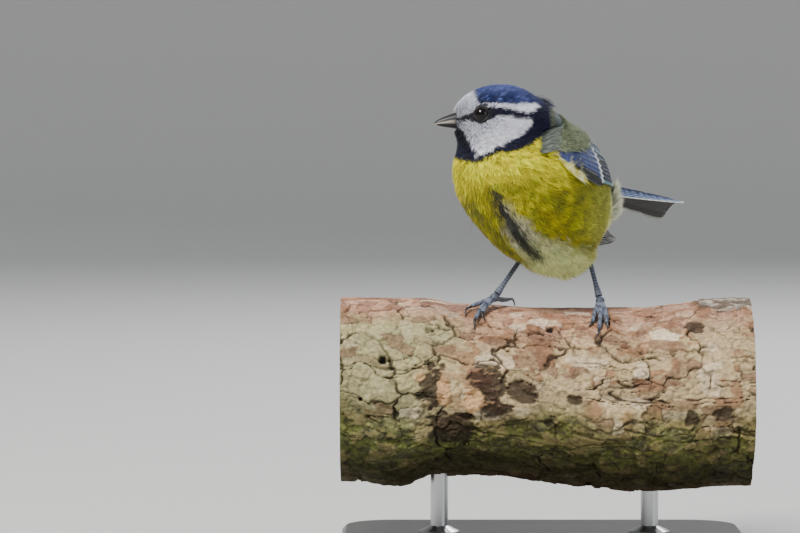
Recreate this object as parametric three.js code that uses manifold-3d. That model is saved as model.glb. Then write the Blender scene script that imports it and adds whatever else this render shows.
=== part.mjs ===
// A life-size blue tit standing on a short cut length of old branch, held by a plain display stand.
// Millimetres, +Z up. The origin is the centre of the base's underside. +X runs along the branch and
// -Y points to the viewer, who sees the bird's left flank, with its head turned to the viewer's left.
import * as THREE from "three";
import { mergeVertices } from "three/addons/utils/BufferGeometryUtils.js";
import Module from "manifold-3d";

const wasm = await Module();
wasm.setup();

const GAP = 0.3; // clearance between two solids that touch in life

// The stand
const BASE = { length: 120, depth: 92, height: 8, corner: 14, bevel: 1.2 };
const ROD = { radius: 2.6, spread: 62, flange: 6, flangeHeight: 1.6, sunk: 7 };

// The branch: heights of its top and bottom outline along its length, and its depth against its height
const BRANCH = { length: 120, depthShare: 1.02, around: 36, along: 16 };
const BRANCH_TOP = [[-60, 78.8], [-36, 78.6], [-23, 76.9], [3, 75.8], [28, 75.9], [46, 77.6], [60, 78.2]];
const BRANCH_UNDER = [[-60, 25.6], [-44, 23.8], [-30, 26.6], [-13, 26.9], [7, 23.9], [30, 22.2], [60, 23.2]];

// The bird's frames: where each starts, how far it is turned from -X towards the viewer, pitched up and
// rolled with its left side up, in degrees
const BODY_AT = { origin: [-1, -4.1, 107.4], turn: 55.1, pitch: 8.1, roll: 18.1 };
const HEAD_AT = { origin: [-13.2, -12.3, 133.3], turn: 8, pitch: -2.6, roll: 0 };
const TAIL_AT = { origin: [12, 16, 112.8], turn: 52.2, pitch: 9.4, roll: 12 };

// Flesh and its plumage as ellipsoids that flow into one another: centre and radii, each as forward,
// left and up in the frame named
const BLEND = 5;
const BODY_FORMS = [
  { centre: [0.1, 0, 1.9], radii: [24.5, 18.3, 21.5] },
  { centre: [-6.8, 0, -0.5], radii: [14.1, 9.3, 21.1] },
  { centre: [-21.5, 0, 0.9], radii: [9.7, 9.8, 11] },
];
const HEAD_FORMS = [
  { centre: [-0.2, 0, -0.5], radii: [10.9, 9.8, 8.8] },
  { centre: [6.2, 0, -1.9], radii: [8.5, 7, 7.6] },
  { centre: [-3.9, 0, -2.4], radii: [11.8, 10.2, 5.9] },
  { centre: [-1, 0, -17.4], radii: [15.8, 12.6, 16.6] },
];

const EYE = { radius: 2.6, forward: 5.3, up: -0.8, showing: 0.62, lidRadius: 1.95, lidThickness: 0.38 };
const BILL = { length: 8.7, width: 4.4, upperDepth: 3.1, lowerDepth: 2.1, root: 11.2, up: -2.1 };
const LEG = { tarsus: 16.5, ankleRadius: 1.6, shankRadius: 0.72, footRadius: 1.15 };
const TOE = { rootRadius: 0.86, tipRadius: 0.6, clawRadius: 0.52, clawTip: 0.16, sides: 7 };

const WING = { sunk: 1.4, base: 0.8, vane: 0.62, primaries: 5, secondaries: 4, tertials: 2, coverts: 6 };
const TAIL = { length: 49.5, vaneHalf: 2.3, thickness: 0.7 };

const point = (x, y, z) => new THREE.Vector3(x, y, z);
const radians = THREE.MathUtils.degToRad;
const { lerp, clamp, smoothstep } = THREE.MathUtils;

// A frame of forward, left and up at an origin.
class Pose {
  constructor({ origin, turn, pitch, roll }) {
    const [t, p, r] = [radians(turn), radians(pitch), radians(roll)];
    this.origin = point(...origin);
    this.forward = point(-Math.cos(t) * Math.cos(p), -Math.sin(t) * Math.cos(p), Math.sin(p));
    const level = point(Math.sin(t), -Math.cos(t), 0);
    const above = this.forward.clone().cross(level);
    this.left = level.clone().multiplyScalar(Math.cos(r)).addScaledVector(above, Math.sin(r));
    this.up = this.forward.clone().cross(this.left);
  }

  at(forward, left, up) {
    return this.origin.clone().add(this.along(forward, left, up));
  }

  along(forward, left, up) {
    return point(0, 0, 0)
      .addScaledVector(this.forward, forward)
      .addScaledVector(this.left, left)
      .addScaledVector(this.up, up);
  }

  local(place) {
    const from = place.clone().sub(this.origin);
    return point(from.dot(this.forward), from.dot(this.left), from.dot(this.up));
  }
}

const body = new Pose(BODY_AT);
const head = new Pose(HEAD_AT);
const tail = new Pose(TAIL_AT);

const formsOf = (pose, forms) =>
  forms.map(({ centre, radii }) => ({ pose, centre: point(...centre), radii: point(...radii) }));
const flesh = [...formsOf(body, BODY_FORMS), ...formsOf(head, HEAD_FORMS)];

// Distance from an ellipsoid's surface, close to exact near it.
function ellipsoidDistance(place, { pose, centre, radii }) {
  const scaled = pose.local(place).sub(centre).divide(radii);
  const share = scaled.length();
  const slope = scaled.divide(radii).length();
  return slope < 1e-9 ? -Math.min(radii.x, radii.y, radii.z) : (share * (share - 1)) / slope;
}

function smoothMin(a, b, reach) {
  const overlap = Math.max(reach - Math.abs(a - b), 0) / reach;
  return Math.min(a, b) - (overlap * overlap * reach) / 4;
}

// Distance from the plumage's surface, below zero inside the bird.
const fleshDistance = (place) =>
  flesh.reduce((nearest, form) => smoothMin(nearest, ellipsoidDistance(place, form), BLEND), Infinity);

function fleshNormal(place) {
  const step = 0.05;
  const along = (axis) => {
    const ahead = place.clone();
    const behind = place.clone();
    ahead[axis] += step;
    behind[axis] -= step;
    return fleshDistance(ahead) - fleshDistance(behind);
  };
  return point(along("x"), along("y"), along("z")).normalize();
}

// How far the plumage reaches from a place inside it, along a direction.
function fleshReach(from, direction, grow) {
  const inside = (far) => fleshDistance(from.clone().addScaledVector(direction, far)) < grow;
  const step = 1;
  const most = 70;
  let far = 0;
  while (inside(far) && far < most) far += step;
  let near = far - step;
  for (let i = 0; i < 18; i++) {
    const middle = (near + far) / 2;
    if (inside(middle)) near = middle;
    else far = middle;
  }
  return near;
}

// A place moved out until it is at least the clearance away from the plumage.
function liftedOff(place, clearance) {
  const moved = place.clone();
  for (let i = 0; i < 6; i++) {
    const short = clearance - fleshDistance(moved);
    if (short > 0) moved.addScaledVector(fleshNormal(moved), short);
  }
  return moved;
}

// Every vertex of a three.js geometry moved by a function of its place.
function shaped(geometry, move) {
  const places = geometry.getAttribute("position");
  for (let i = 0; i < places.count; i++) {
    const moved = move(new THREE.Vector3().fromBufferAttribute(places, i));
    places.setXYZ(i, moved.x, moved.y, moved.z);
  }
  return geometry;
}

function signedVolume(vertices, triangles) {
  const corner = (i) => new THREE.Vector3().fromArray(vertices, 3 * triangles[i]);
  let sum = 0;
  for (let i = 0; i < triangles.length; i += 3) sum += corner(i).dot(corner(i + 1).cross(corner(i + 2)));
  return sum / 6;
}

// A closed three.js geometry as a solid whose faces point out.
function solid(geometry) {
  const bare = new THREE.BufferGeometry();
  bare.setAttribute("position", geometry.getAttribute("position"));
  bare.setIndex(geometry.index);
  const merged = mergeVertices(bare, 1e-4);
  const vertProperties = new Float32Array(merged.getAttribute("position").array);
  const triVerts = new Uint32Array(merged.index.array);
  if (signedVolume(vertProperties, triVerts) < 0) {
    for (let i = 0; i < triVerts.length; i += 3) {
      [triVerts[i + 1], triVerts[i + 2]] = [triVerts[i + 2], triVerts[i + 1]];
    }
  }
  return new wasm.Manifold(new wasm.Mesh({ numProp: 3, vertProperties, triVerts }));
}

const fused = (pieces) => pieces.reduce((whole, piece) => whole.add(piece));

// The largest closed surface of a solid.
function largest(made) {
  const pieces = made.decompose();
  return pieces.reduce((kept, piece) => (piece.volume() > kept.volume() ? piece : kept), pieces[0]);
}

function meshOf(name, made, { color, roughness, metalness = 0 }) {
  const { numProp, vertProperties, triVerts } = largest(made).getMesh();
  const places = new Float32Array((vertProperties.length / numProp) * 3);
  for (let i = 0; i < places.length / 3; i++) {
    places.set(vertProperties.subarray(i * numProp, i * numProp + 3), i * 3);
  }
  const geometry = new THREE.BufferGeometry();
  geometry.setAttribute("position", new THREE.BufferAttribute(places, 3));
  geometry.setIndex(new THREE.BufferAttribute(new Uint32Array(triVerts), 1));
  geometry.computeVertexNormals();
  const mesh = new THREE.Mesh(geometry, new THREE.MeshStandardMaterial({ color, roughness, metalness }));
  mesh.name = name;
  return mesh;
}

// A half space as a large block, on the side of the plane that the normal points to.
function halfSpace(place, normal) {
  const size = 300;
  const block = new THREE.BoxGeometry(size, size, size).translate(0, 0, size / 2);
  const turn = new THREE.Quaternion().setFromUnitVectors(point(0, 0, 1), normal);
  return solid(block.applyQuaternion(turn).translate(place.x, place.y, place.z));
}

// A round rod along a curve, with its radius at each share of the length.
function taperedRod(curve, radiusAt, sides, stations) {
  const frames = curve.computeFrenetFrames(stations, false);
  return shaped(new THREE.CylinderGeometry(1, 1, 1, sides, stations), (place) => {
    const share = clamp(0.5 - place.y, 0, 1);
    const station = Math.round(share * stations);
    const radius = radiusAt(share);
    return curve
      .getPointAt(share)
      .addScaledVector(frames.normals[station], place.x * radius)
      .addScaledVector(frames.binormals[station], place.z * radius);
  });
}

const smoothCurve = (places) => new THREE.CatmullRomCurve3(places, false, "centripetal");

// A strip whose four corners at each station are given, with its two broad faces split alike.
function stripOf(stations) {
  const places = stations.flat().flatMap((corner) => corner.toArray());
  const faces = [];
  const quad = (a, b, c, d) => faces.push(a, b, c, a, c, d);
  for (let i = 0; i + 1 < stations.length; i++) {
    const [near, far] = [4 * i, 4 * (i + 1)];
    quad(near, far, far + 1, near + 1);
    quad(near + 1, far + 1, far + 2, near + 2);
    faces.push(near + 2, far + 2, near + 3, far + 2, far + 3, near + 3);
    quad(near + 3, far + 3, far, near);
  }
  const last = 4 * (stations.length - 1);
  quad(0, 1, 2, 3);
  quad(last, last + 3, last + 2, last + 1);
  const geometry = new THREE.BufferGeometry();
  geometry.setAttribute("position", new THREE.Float32BufferAttribute(places, 3));
  geometry.setIndex(faces);
  return geometry;
}

// A closed slab between two grids of places, with its two broad faces split alike.
function slabOf(outer, inner) {
  const [rows, columns] = [outer.length, outer[0].length];
  const places = [...outer.flat(), ...inner.flat()].flatMap((place) => place.toArray());
  const at = (i, j, deep) => (deep ? rows * columns : 0) + i * columns + j;
  const faces = [];
  const quad = (a, b, c, d) => faces.push(a, b, c, a, c, d);
  for (let i = 0; i + 1 < rows; i++) {
    for (let j = 0; j + 1 < columns; j++) {
      const corners = [at(i, j), at(i, j + 1), at(i + 1, j + 1), at(i + 1, j)];
      const [a, b, c, d] = corners.map((corner) => corner + rows * columns);
      quad(...corners);
      faces.push(a, c, b, a, d, c);
    }
    quad(at(i, 0), at(i + 1, 0), at(i + 1, 0, 1), at(i, 0, 1));
    quad(at(i, columns - 1), at(i, columns - 1, 1), at(i + 1, columns - 1, 1), at(i + 1, columns - 1));
  }
  for (let j = 0; j + 1 < columns; j++) {
    quad(at(0, j), at(0, j, 1), at(0, j + 1, 1), at(0, j + 1));
    quad(at(rows - 1, j), at(rows - 1, j + 1), at(rows - 1, j + 1, 1), at(rows - 1, j, 1));
  }
  const geometry = new THREE.BufferGeometry();
  geometry.setAttribute("position", new THREE.Float32BufferAttribute(places, 3));
  geometry.setIndex(faces);
  return solid(geometry);
}

// The branch
function profileHeight(profile, x) {
  const last = profile.length - 1;
  const i = clamp(profile.findIndex(([at]) => at > x) - 1, 0, last - 1);
  const [from, to] = x >= profile[last][0] ? [profile[last], profile[last]] : [profile[i], profile[i + 1]];
  return from === to ? from[1] : lerp(from[1], to[1], smoothstep(x, from[0], to[0]));
}

// A place at a height above the branch's surface. The angle is 0 at the crest and grows towards the viewer.
function onBranch(x, degrees, above) {
  const [top, under] = [profileHeight(BRANCH_TOP, x), profileHeight(BRANCH_UNDER, x)];
  const angle = radians(degrees);
  const half = (top - under) / 2;
  const furrows = 0.35 * Math.sin(7 * angle + 0.03 * x) + 0.25 * Math.sin(11 * angle - 0.07 * x + 1);
  const crest = smoothstep(Math.abs(degrees), 30, 80);
  const radius = half + above + furrows * crest;
  return point(x, -Math.sin(angle) * radius * BRANCH.depthShare, (top + under) / 2 + Math.cos(angle) * radius);
}

function branchSolid(grow) {
  const half = BRANCH.length / 2;
  return solid(
    shaped(new THREE.CylinderGeometry(1, 1, 1, BRANCH.around, BRANCH.along), (place) => {
      const x = 2 * place.y * (half + grow);
      const share = Math.hypot(place.x, place.z);
      const degrees = THREE.MathUtils.radToDeg(Math.atan2(place.x, place.z));
      if (share < 1e-6) {
        const middle = (profileHeight(BRANCH_TOP, x) + profileHeight(BRANCH_UNDER, x)) / 2;
        return point(x, 0, middle);
      }
      return onBranch(x, degrees, grow);
    }),
  );
}

const rodPlaces = [-1, 1].map((side) => (side * ROD.spread) / 2);
const rodTop = (x) => profileHeight(BRANCH_UNDER, x) + ROD.sunk;

function lathed(profile, x, y) {
  const points = profile.map(([radius, height]) => new THREE.Vector2(radius, height));
  return solid(new THREE.LatheGeometry(points, 20).rotateX(Math.PI / 2).translate(x, y, 0));
}

function rodSolid(x) {
  const foot = BASE.height + GAP;
  return lathed(
    [
      [0, foot],
      [ROD.flange, foot],
      [ROD.flange, foot + ROD.flangeHeight],
      [ROD.radius, foot + 2 * ROD.flangeHeight],
      [ROD.radius, rodTop(x)],
      [0, rodTop(x)],
    ],
    x,
    0,
  );
}

function rodHole(x) {
  const radius = ROD.radius + GAP;
  return lathed([[0, 5], [radius, 5], [radius, rodTop(x) + GAP], [0, rodTop(x) + GAP]], x, 0);
}

function baseSolid() {
  const [halfLength, halfDepth] = [BASE.length / 2 - BASE.bevel, BASE.depth / 2 - BASE.bevel];
  const outline = new THREE.Shape();
  const corners = [[1, 1, 0], [-1, 1, 90], [-1, -1, 180], [1, -1, 270]];
  for (const [sx, sy, start] of corners) {
    outline.absarc(
      sx * (halfLength - BASE.corner),
      sy * (halfDepth - BASE.corner),
      BASE.corner,
      radians(start),
      radians(start + 90),
    );
  }
  const plate = new THREE.ExtrudeGeometry(outline, {
    depth: BASE.height - BASE.bevel,
    bevelEnabled: true,
    bevelThickness: BASE.bevel,
    bevelSize: BASE.bevel,
    bevelSegments: 1,
    curveSegments: 6,
  });
  return solid(plate).intersect(halfSpace(point(0, 0, 0), point(0, 0, 1)));
}

// The flesh, seen from the middle of the body or of the head, as one closed surface.
function fleshSolid(centre, around, rings, grow) {
  return solid(
    shaped(new THREE.SphereGeometry(1, around, rings), (place) => {
      const direction = place.clone().normalize();
      return centre.clone().addScaledVector(direction, fleshReach(centre, direction, grow));
    }),
  );
}

const headMiddle = head.at(0, 0, -1);
const bodyMiddle = body.at(-2, 0, 1);
const headPlane = { place: head.at(-2, 0, -7.4), normal: head.along(0.12, 0, 1).normalize() };
const neckPlane = { place: head.at(-3, 0, -11.6), normal: head.along(0.3, 0.12, 1).normalize() };
const rumpPlane = { place: body.at(-21.5, 0, 0), normal: body.along(-1, 0, 0.25).normalize() };

const side = (plane, sign, gap) =>
  halfSpace(
    plane.place.clone().addScaledVector(plane.normal, (sign * gap) / 2),
    plane.normal.clone().multiplyScalar(sign),
  );

// The head
function eyeMiddle(hand) {
  const start = head.at(EYE.forward, 0, EYE.up);
  const outward = head.along(0.22, hand, 0.1).normalize();
  const reach = fleshReach(start, outward, 0);
  return { outward, place: start.addScaledVector(outward, reach - EYE.radius + EYE.showing) };
}

function eyeSolid(hand, grow, around, rings) {
  const { place } = eyeMiddle(hand);
  return solid(new THREE.SphereGeometry(EYE.radius + grow, around, rings).translate(place.x, place.y, place.z));
}

function lidSolid(hand) {
  const { place, outward } = eyeMiddle(hand);
  const turn = new THREE.Quaternion().setFromUnitVectors(point(0, 0, 1), outward);
  const ring = new THREE.TorusGeometry(EYE.lidRadius, EYE.lidThickness, 6, 18).applyQuaternion(turn);
  const rise = Math.sqrt(EYE.radius ** 2 - EYE.lidRadius ** 2) + 0.1;
  return solid(ring.translate(...place.clone().addScaledVector(outward, rise).toArray()));
}

// Half a bill: the upper one arches over the line of the mouth and the lower one hangs below it.
function billHalf(upper) {
  const depth = upper ? BILL.upperDepth : BILL.lowerDepth;
  const length = BILL.length * (upper ? 1 : 0.93);
  const [sides, stations] = [14, 7];
  return solid(
    shaped(new THREE.CylinderGeometry(1, 1, 1, sides, stations), (place) => {
      const share = clamp(place.y + 0.5, 0, 1);
      const taper = 0.98 * Math.pow(1 - share, 0.55) + 0.02;
      const arch = Math.max(upper ? place.z : -place.z, 0);
      const droop = -0.3 * ((share * length) / BILL.length) ** 2;
      const lip = (upper ? GAP : -GAP) / 2;
      const height = (upper ? 1 : -1) * arch * depth * taper;
      return head.at(BILL.root + share * length, place.x * 0.5 * BILL.width * taper, BILL.up + lip + height + droop);
    }),
  );
}

function nostril(hand) {
  const place = head.at(BILL.root + 1.9, hand * 1.35, BILL.up + 1.3);
  return solid(new THREE.SphereGeometry(0.38, 8, 6).translate(place.x, place.y, place.z));
}

// The legs: where the foot's hub, the feathers' end and each toe lie on the branch, as the distance
// along it, degrees from its crest towards the viewer and height above it
const LEGS = {
  left: {
    hand: 1,
    hub: [15.9, 14.6, 3.4],
    ankle: [12.4, 1.3, 92.7],
    thighRoot: [11, -1, 98],
    toes: {
      inner: { path: [[14.4, 23, 1.9], [13.4, 32.4, 0.9]], claw: [[12.9, 34.5, 1.1], [12.3, 36.5, 0.25]] },
      middle: { path: [[15.8, 26, 1.9], [15.2, 38.8, 0.9]], claw: [[14.8, 42.8, 1.2], [14.1, 46.5, 0.25]] },
      outer: { path: [[17.3, 24, 1.9], [17.4, 33.5, 0.9]], claw: [[17.6, 36.5, 1.1], [17.7, 38.5, 0.25]] },
      hind: { path: [[16.6, 5, 1.7], [17, -5, 0.95]], claw: [[17.3, -12, 1.6], [17.5, -17, 0.25]] },
    },
  },
  right: {
    hand: -1,
    hub: [-15, 13.2, 3.2],
    ankle: [-6.2, 1.1, 91.2],
    thighRoot: [-4, -1, 96],
    toes: {
      inner: { path: [[-17, 19.5, 2.2], [-18.5, 26.5, 1.2]], claw: [[-18.6, 29.5, 1.1], [-18, 33, 0.25]] },
      middle: { path: [[-18, 20, 2.1], [-20.7, 33.5, 0.95]], claw: [[-21, 38.5, 1.1], [-21, 43, 0.25]] },
      outer: { path: [[-18.3, 15, 2], [-21.6, 18, 1.2]], claw: [[-23.3, 23.5, 1.4], [-23.6, 29.5, 0.25]] },
      hind: { path: [[-12.6, 7, 2], [-10.8, -1, 1.8]], claw: [[-9.3, -7, 1.9], [-8.6, -12, 0.3]] },
    },
  },
};

const hubOf = (leg) => onBranch(...leg.hub);

// Where the shank leaves the thigh's feathers.
const shankTop = (leg) => hubOf(leg).lerp(point(...leg.ankle), 0.82);

// The shank, whose top runs up into the thigh's feathers. Grown, it is the hole that clears it.
function shankSolid(leg, grow) {
  const hub = hubOf(leg);
  const top = shankTop(leg);
  const along = hub.clone().sub(top).normalize();
  const start = top.addScaledVector(along, -1.5 - grow);
  const curve = new THREE.LineCurve3(start, hub.addScaledVector(along, -1.6));
  const radiusAt = (share) => lerp(LEG.shankRadius, LEG.footRadius, smoothstep(share, 0.7, 1)) + grow;
  return solid(taperedRod(curve, radiusAt, 10, 6));
}

function thighSolid(leg) {
  const [root, end] = [point(...leg.thighRoot), shankTop(leg)];
  const curve = smoothCurve([root, root.clone().lerp(end, 0.5), end]);
  const radiusAt = (share) => lerp(6.2, LEG.ankleRadius, Math.pow(share, 0.8));
  return solid(taperedRod(curve, radiusAt, 12, 6)).subtract(shankSolid(leg, GAP));
}

function toeCurve(leg, toe) {
  return smoothCurve([hubOf(leg), ...toe.path.map((place) => onBranch(...place))]);
}

function toeSolid(leg, toe, grow) {
  const joints = 3;
  const radiusAt = (share) => {
    const pad = 0.07 * Math.sin(joints * Math.PI * share) ** 2;
    return lerp(TOE.rootRadius, TOE.tipRadius, share) + pad + grow;
  };
  return solid(taperedRod(toeCurve(leg, toe), radiusAt, TOE.sides, 6));
}

function footSolid(leg, grow) {
  const hub = hubOf(leg);
  const ball = new THREE.SphereGeometry(LEG.footRadius + 0.25 + grow, 10, 8).translate(hub.x, hub.y, hub.z);
  return fused([solid(ball), ...Object.values(leg.toes).map((toe) => toeSolid(leg, toe, grow))]);
}

function clawSolid(leg, toe) {
  const curve = toeCurve(leg, toe);
  const end = curve.getPointAt(1);
  const start = end.clone().addScaledVector(curve.getTangentAt(1), GAP);
  const path = smoothCurve([start, ...toe.claw.map((place) => onBranch(...place))]);
  return solid(taperedRod(path, (share) => lerp(TOE.clawRadius, TOE.clawTip, share), 7, 5));
}

// The folded wing, in the body's frame: lower and upper edges from the wrist to the tip
const WINGS = {
  left: {
    lower: [[13, 14.5, 8], [9, 16, 4], [4, 18.3, 1], [-4, 18, -1], [-16, 15.5, 1], [-29, 7, 5], [-42, -2, 9.5]],
    upper: [[7, 9, 14], [4, 8, 15], [0, 7, 16], [-7, 5.8, 16], [-16, 4, 14.5], [-29, 0.5, 12], [-42, -2.8, 11]],
    tip: [0.3, 0.3],
  },
  right: {
    lower: [[13, -14.5, 8], [9, -16, 4], [4, -18.3, 1], [-4, -18, -1], [-17, -16, -1.5], [-36, -13.5, -2.5], [-55, -9, -2.5]],
    upper: [[7, -9, 14], [4, -8, 15], [0, -7, 16], [-7, -7, 15], [-18, -8, 11], [-36, -8.5, 5], [-55, -8.5, -0.6]],
    tip: [-0.25, 0.9],
  },
};

function wingSheet({ lower, upper }) {
  const curveOf = (edge) => smoothCurve(edge.map((place) => body.at(...place)));
  const [low, high] = [curveOf(lower), curveOf(upper)];
  return (along, across, height) => liftedOff(low.getPoint(along).lerp(high.getPoint(along), across), height);
}

// A slab of the wing's outline up to a share of its length, from its sunk underside to a height above that.
function wingSlab(wing, { until, margin, below, above }) {
  const sheet = wingSheet(wing);
  const [stations, strips] = [10, 3];
  const rows = [];
  for (let i = 0; i <= stations; i++) {
    const columns = [];
    for (let j = 0; j <= strips; j++) columns.push(sheet((until * i) / stations, j / strips, -WING.sunk));
    const aside = columns[strips].clone().sub(columns[0]).normalize().multiplyScalar(margin);
    columns[0].sub(aside);
    columns[strips].add(aside);
    rows.push(columns);
  }
  const spread = (row, from) =>
    row.forEach((place, j) => place.addScaledVector(place.clone().sub(from[j]).normalize(), margin));
  spread(rows[0], rows[1]);
  spread(rows[stations], rows[stations - 1]);
  const normals = rows.map((columns) => columns.map(fleshNormal));
  const shifted = (height) =>
    rows.map((columns, i) => columns.map((place, j) => place.clone().addScaledVector(normals[i][j], height)));
  return slabOf(shifted(above), shifted(-below));
}

// One feather of the wing, from its root to its tip as shares along and across the wing.
function wingVane(sheet, { root, tip, half, height }) {
  const outline = [[0, 0.7], [0.45, 1], [0.88, 0.85], [1, 0.3]];
  const rows = outline.map(([share, wide]) => {
    const at = (s) => sheet(clamp(lerp(root[0], tip[0], s), 0, 1), lerp(root[1], tip[1], s), height);
    const middle = at(share);
    const along = at(Math.min(share + 0.05, 1)).sub(at(share - 0.05)).normalize();
    const normal = fleshNormal(middle);
    const aside = normal.clone().cross(along).normalize().multiplyScalar(half * wide);
    const edges = [middle.clone().sub(aside), middle.clone().add(aside)].map((place) => liftedOff(place, height));
    const over = edges.map((place) => place.clone().addScaledVector(normal, WING.vane));
    return [over[0], over[1], edges[1], edges[0]];
  });
  return solid(stripOf(rows));
}

function wingVanes(wing) {
  const sheet = wingSheet(wing);
  const vanes = [];
  const row = (count, feather) => {
    for (let i = 0; i < count; i++) vanes.push(wingVane(sheet, feather(i, i / (count - 1))));
  };
  row(WING.primaries, (i, share) => ({
    root: [0.34, 0.14 + 0.25 * share],
    tip: [1 - 0.045 * i, wing.tip[0] + wing.tip[1] * share],
    half: 2.1,
    height: -0.95 + 0.5 * share,
  }));
  row(WING.secondaries, (i, share) => ({
    root: [0.3, 0.28 + 0.4 * share],
    tip: [0.74 - 0.08 * share, 0.22 + 0.5 * share],
    half: 2.4,
    height: -0.6 + 0.4 * share,
  }));
  row(WING.tertials, (i, share) => ({
    root: [0.28, 0.66 + 0.2 * share],
    tip: [0.68 - 0.12 * share, 0.66 + 0.18 * share],
    half: 2.8,
    height: -0.1 + 0.25 * share,
  }));
  row(WING.coverts, (i, share) => ({
    root: [0.2, 0.06 + 0.86 * share],
    tip: [0.43 - 0.05 * share, 0.08 + 0.82 * share],
    half: 2.1,
    height: -0.25 + 0.3 * share,
  }));
  row(WING.coverts - 1, (i, share) => ({
    root: [0.1, 0.08 + 0.84 * share],
    tip: [0.29, 0.1 + 0.8 * share],
    half: 2,
    height: -0.05 + 0.25 * share,
  }));
  row(WING.coverts - 2, (i, share) => ({
    root: [0.01, 0.1 + 0.8 * share],
    tip: [0.18, 0.1 + 0.8 * share],
    half: 2,
    height: 0.1 + 0.2 * share,
  }));
  return vanes;
}

// A wing of overlapping feathers on a thin base, cut clear of the plumage round its pocket.
function wingSolid(wing, fleshGrown) {
  const base = wingSlab(wing, { until: 0.62, margin: 0, below: 0, above: WING.base });
  const around = fleshGrown.subtract(wingSlab(wing, { until: 1, margin: 0.3, below: 0, above: 9 }));
  return fused([base, ...wingVanes(wing)]).subtract(around).subtract(tailSolid(GAP));
}

const wingPocket = (wing) => wingSlab(wing, { until: 1, margin: 0.3 + 1.4 * GAP, below: GAP, above: 9 });

function tailVane(number, grow) {
  const hand = Math.sign(number);
  const order = Math.abs(number) - 0.5;
  const lean = -hand * radians(6 + 9 * order);
  const across = order * (hand > 0 ? 0.62 : 0.48);
  const sag = 0.34 * order + 0.045 * order * order;
  const length = TAIL.length - (hand > 0 ? 0.45 : 0.2) * order + grow;
  const rows = [];
  const outline = [[0, 0.35], [0.3, 0.6], [0.6, 0.85], [0.88, 1], [0.97, 0.75], [1, 0.3]];
  for (const [share, wide] of outline) {
    const spread = hand * across * lerp(0.2, 1.25, share);
    const half = TAIL.vaneHalf * wide + grow;
    const flat = hand > 0 ? lerp(1, 0.35, share) : 1;
    const [tilt, down] = [lean * flat, sag * flat];
    const corner = (side, height) => {
      const [left, up] = [side * half, height];
      return tail.at(
        -share * length,
        spread + left * Math.cos(tilt) - up * Math.sin(tilt),
        -down + left * Math.sin(tilt) + up * Math.cos(tilt),
      );
    };
    const thick = TAIL.thickness / 2 + grow;
    rows.push([corner(-1, thick), corner(1, thick), corner(1, -thick), corner(-1, -thick)]);
  }
  return solid(stripOf(rows));
}

function tailSolid(grow) {
  const vanes = [];
  for (let order = 0.5; order < 6; order++) {
    vanes.push(tailVane(order + 0.5, grow), tailVane(-order - 0.5, grow));
  }
  return fused(vanes);
}

const FINISH = {
  crown: { color: 0x3c58a0, roughness: 0.75 },
  collar: { color: 0x141a38, roughness: 0.8 },
  breast: { color: 0xb3ae2c, roughness: 0.85 },
  rump: { color: 0x8a9a62, roughness: 0.85 },
  thigh: { color: 0xc3c69a, roughness: 0.85 },
  bill: { color: 0x33353c, roughness: 0.4 },
  eye: { color: 0x0b0807, roughness: 0.1 },
  leg: { color: 0x4a5566, roughness: 0.5 },
  claw: { color: 0x1f2228, roughness: 0.35 },
  wing: { color: 0x33538c, roughness: 0.6 },
  tail: { color: 0x3e6698, roughness: 0.55 },
  branch: { color: 0xa58467, roughness: 0.95 },
  base: { color: 0x2c2622, roughness: 0.35 },
  rod: { color: 0x9a9a98, roughness: 0.3, metalness: 1 },
};

function birdMeshes() {
  const aroundHead = fleshSolid(headMiddle, 28, 20, 0);
  const pockets = fused(Object.values(WINGS).map(wingPocket));
  const aroundBody = fleshSolid(bodyMiddle, 32, 22, 0).subtract(pockets);
  const fleshGrown = fleshSolid(headMiddle, 28, 20, GAP).add(fleshSolid(bodyMiddle, 32, 22, GAP));

  const hands = [1, -1];
  const sockets = fused(hands.map((hand) => eyeSolid(hand, GAP, 14, 10)));
  const lids = fused(hands.map(lidSolid));
  const skull = aroundHead.subtract(pockets).intersect(side(headPlane, 1, GAP)).add(lids).subtract(sockets);
  const neck = aroundBody.intersect(side(headPlane, -1, GAP)).intersect(side(neckPlane, 1, GAP));
  const chest = aroundBody.intersect(side(neckPlane, -1, GAP)).intersect(side(rumpPlane, -1, GAP));
  const rump = aroundBody.intersect(side(neckPlane, -1, GAP)).intersect(side(rumpPlane, 1, GAP));

  const upperBill = billHalf(true).subtract(fused(hands.map(nostril)));
  const meshes = [
    meshOf("head", skull, FINISH.crown),
    meshOf("neck", neck, FINISH.collar),
    meshOf("torso", chest, FINISH.breast),
    meshOf("rump", rump, FINISH.rump),
    meshOf("bill_upper", upperBill.subtract(fleshGrown), FINISH.bill),
    meshOf("bill_lower", billHalf(false).subtract(fleshGrown), FINISH.bill),
    meshOf("eye_left", eyeSolid(1, 0, 14, 10), FINISH.eye),
    meshOf("eye_right", eyeSolid(-1, 0, 14, 10), FINISH.eye),
    meshOf("wing_left", wingSolid(WINGS.left, fleshGrown), FINISH.wing),
    meshOf("wing_right", wingSolid(WINGS.right, fleshGrown), FINISH.wing),
    meshOf("tail", tailSolid(0).subtract(fleshGrown), FINISH.tail),
  ];
  const branchGrown = branchSolid(GAP / 2);
  for (const [name, leg] of Object.entries(LEGS)) {
    const shank = shankSolid(leg, 0);
    const foot = footSolid(leg, 0).subtract(branchGrown);
    const footCleared = footSolid(leg, GAP).add(branchGrown);
    meshes.push(
      meshOf(`thigh_${name}`, thighSolid(leg).subtract(fleshGrown), FINISH.thigh),
      meshOf(`shank_${name}`, shank.subtract(fleshGrown), FINISH.leg),
      meshOf(`foot_${name}`, foot, FINISH.leg),
    );
    for (const [toeName, toe] of Object.entries(leg.toes)) {
      const claw = clawSolid(leg, toe).subtract(footCleared);
      meshes.push(meshOf(`claw_${name}_${toeName}`, claw, FINISH.claw));
    }
  }
  return meshes;
}

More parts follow.
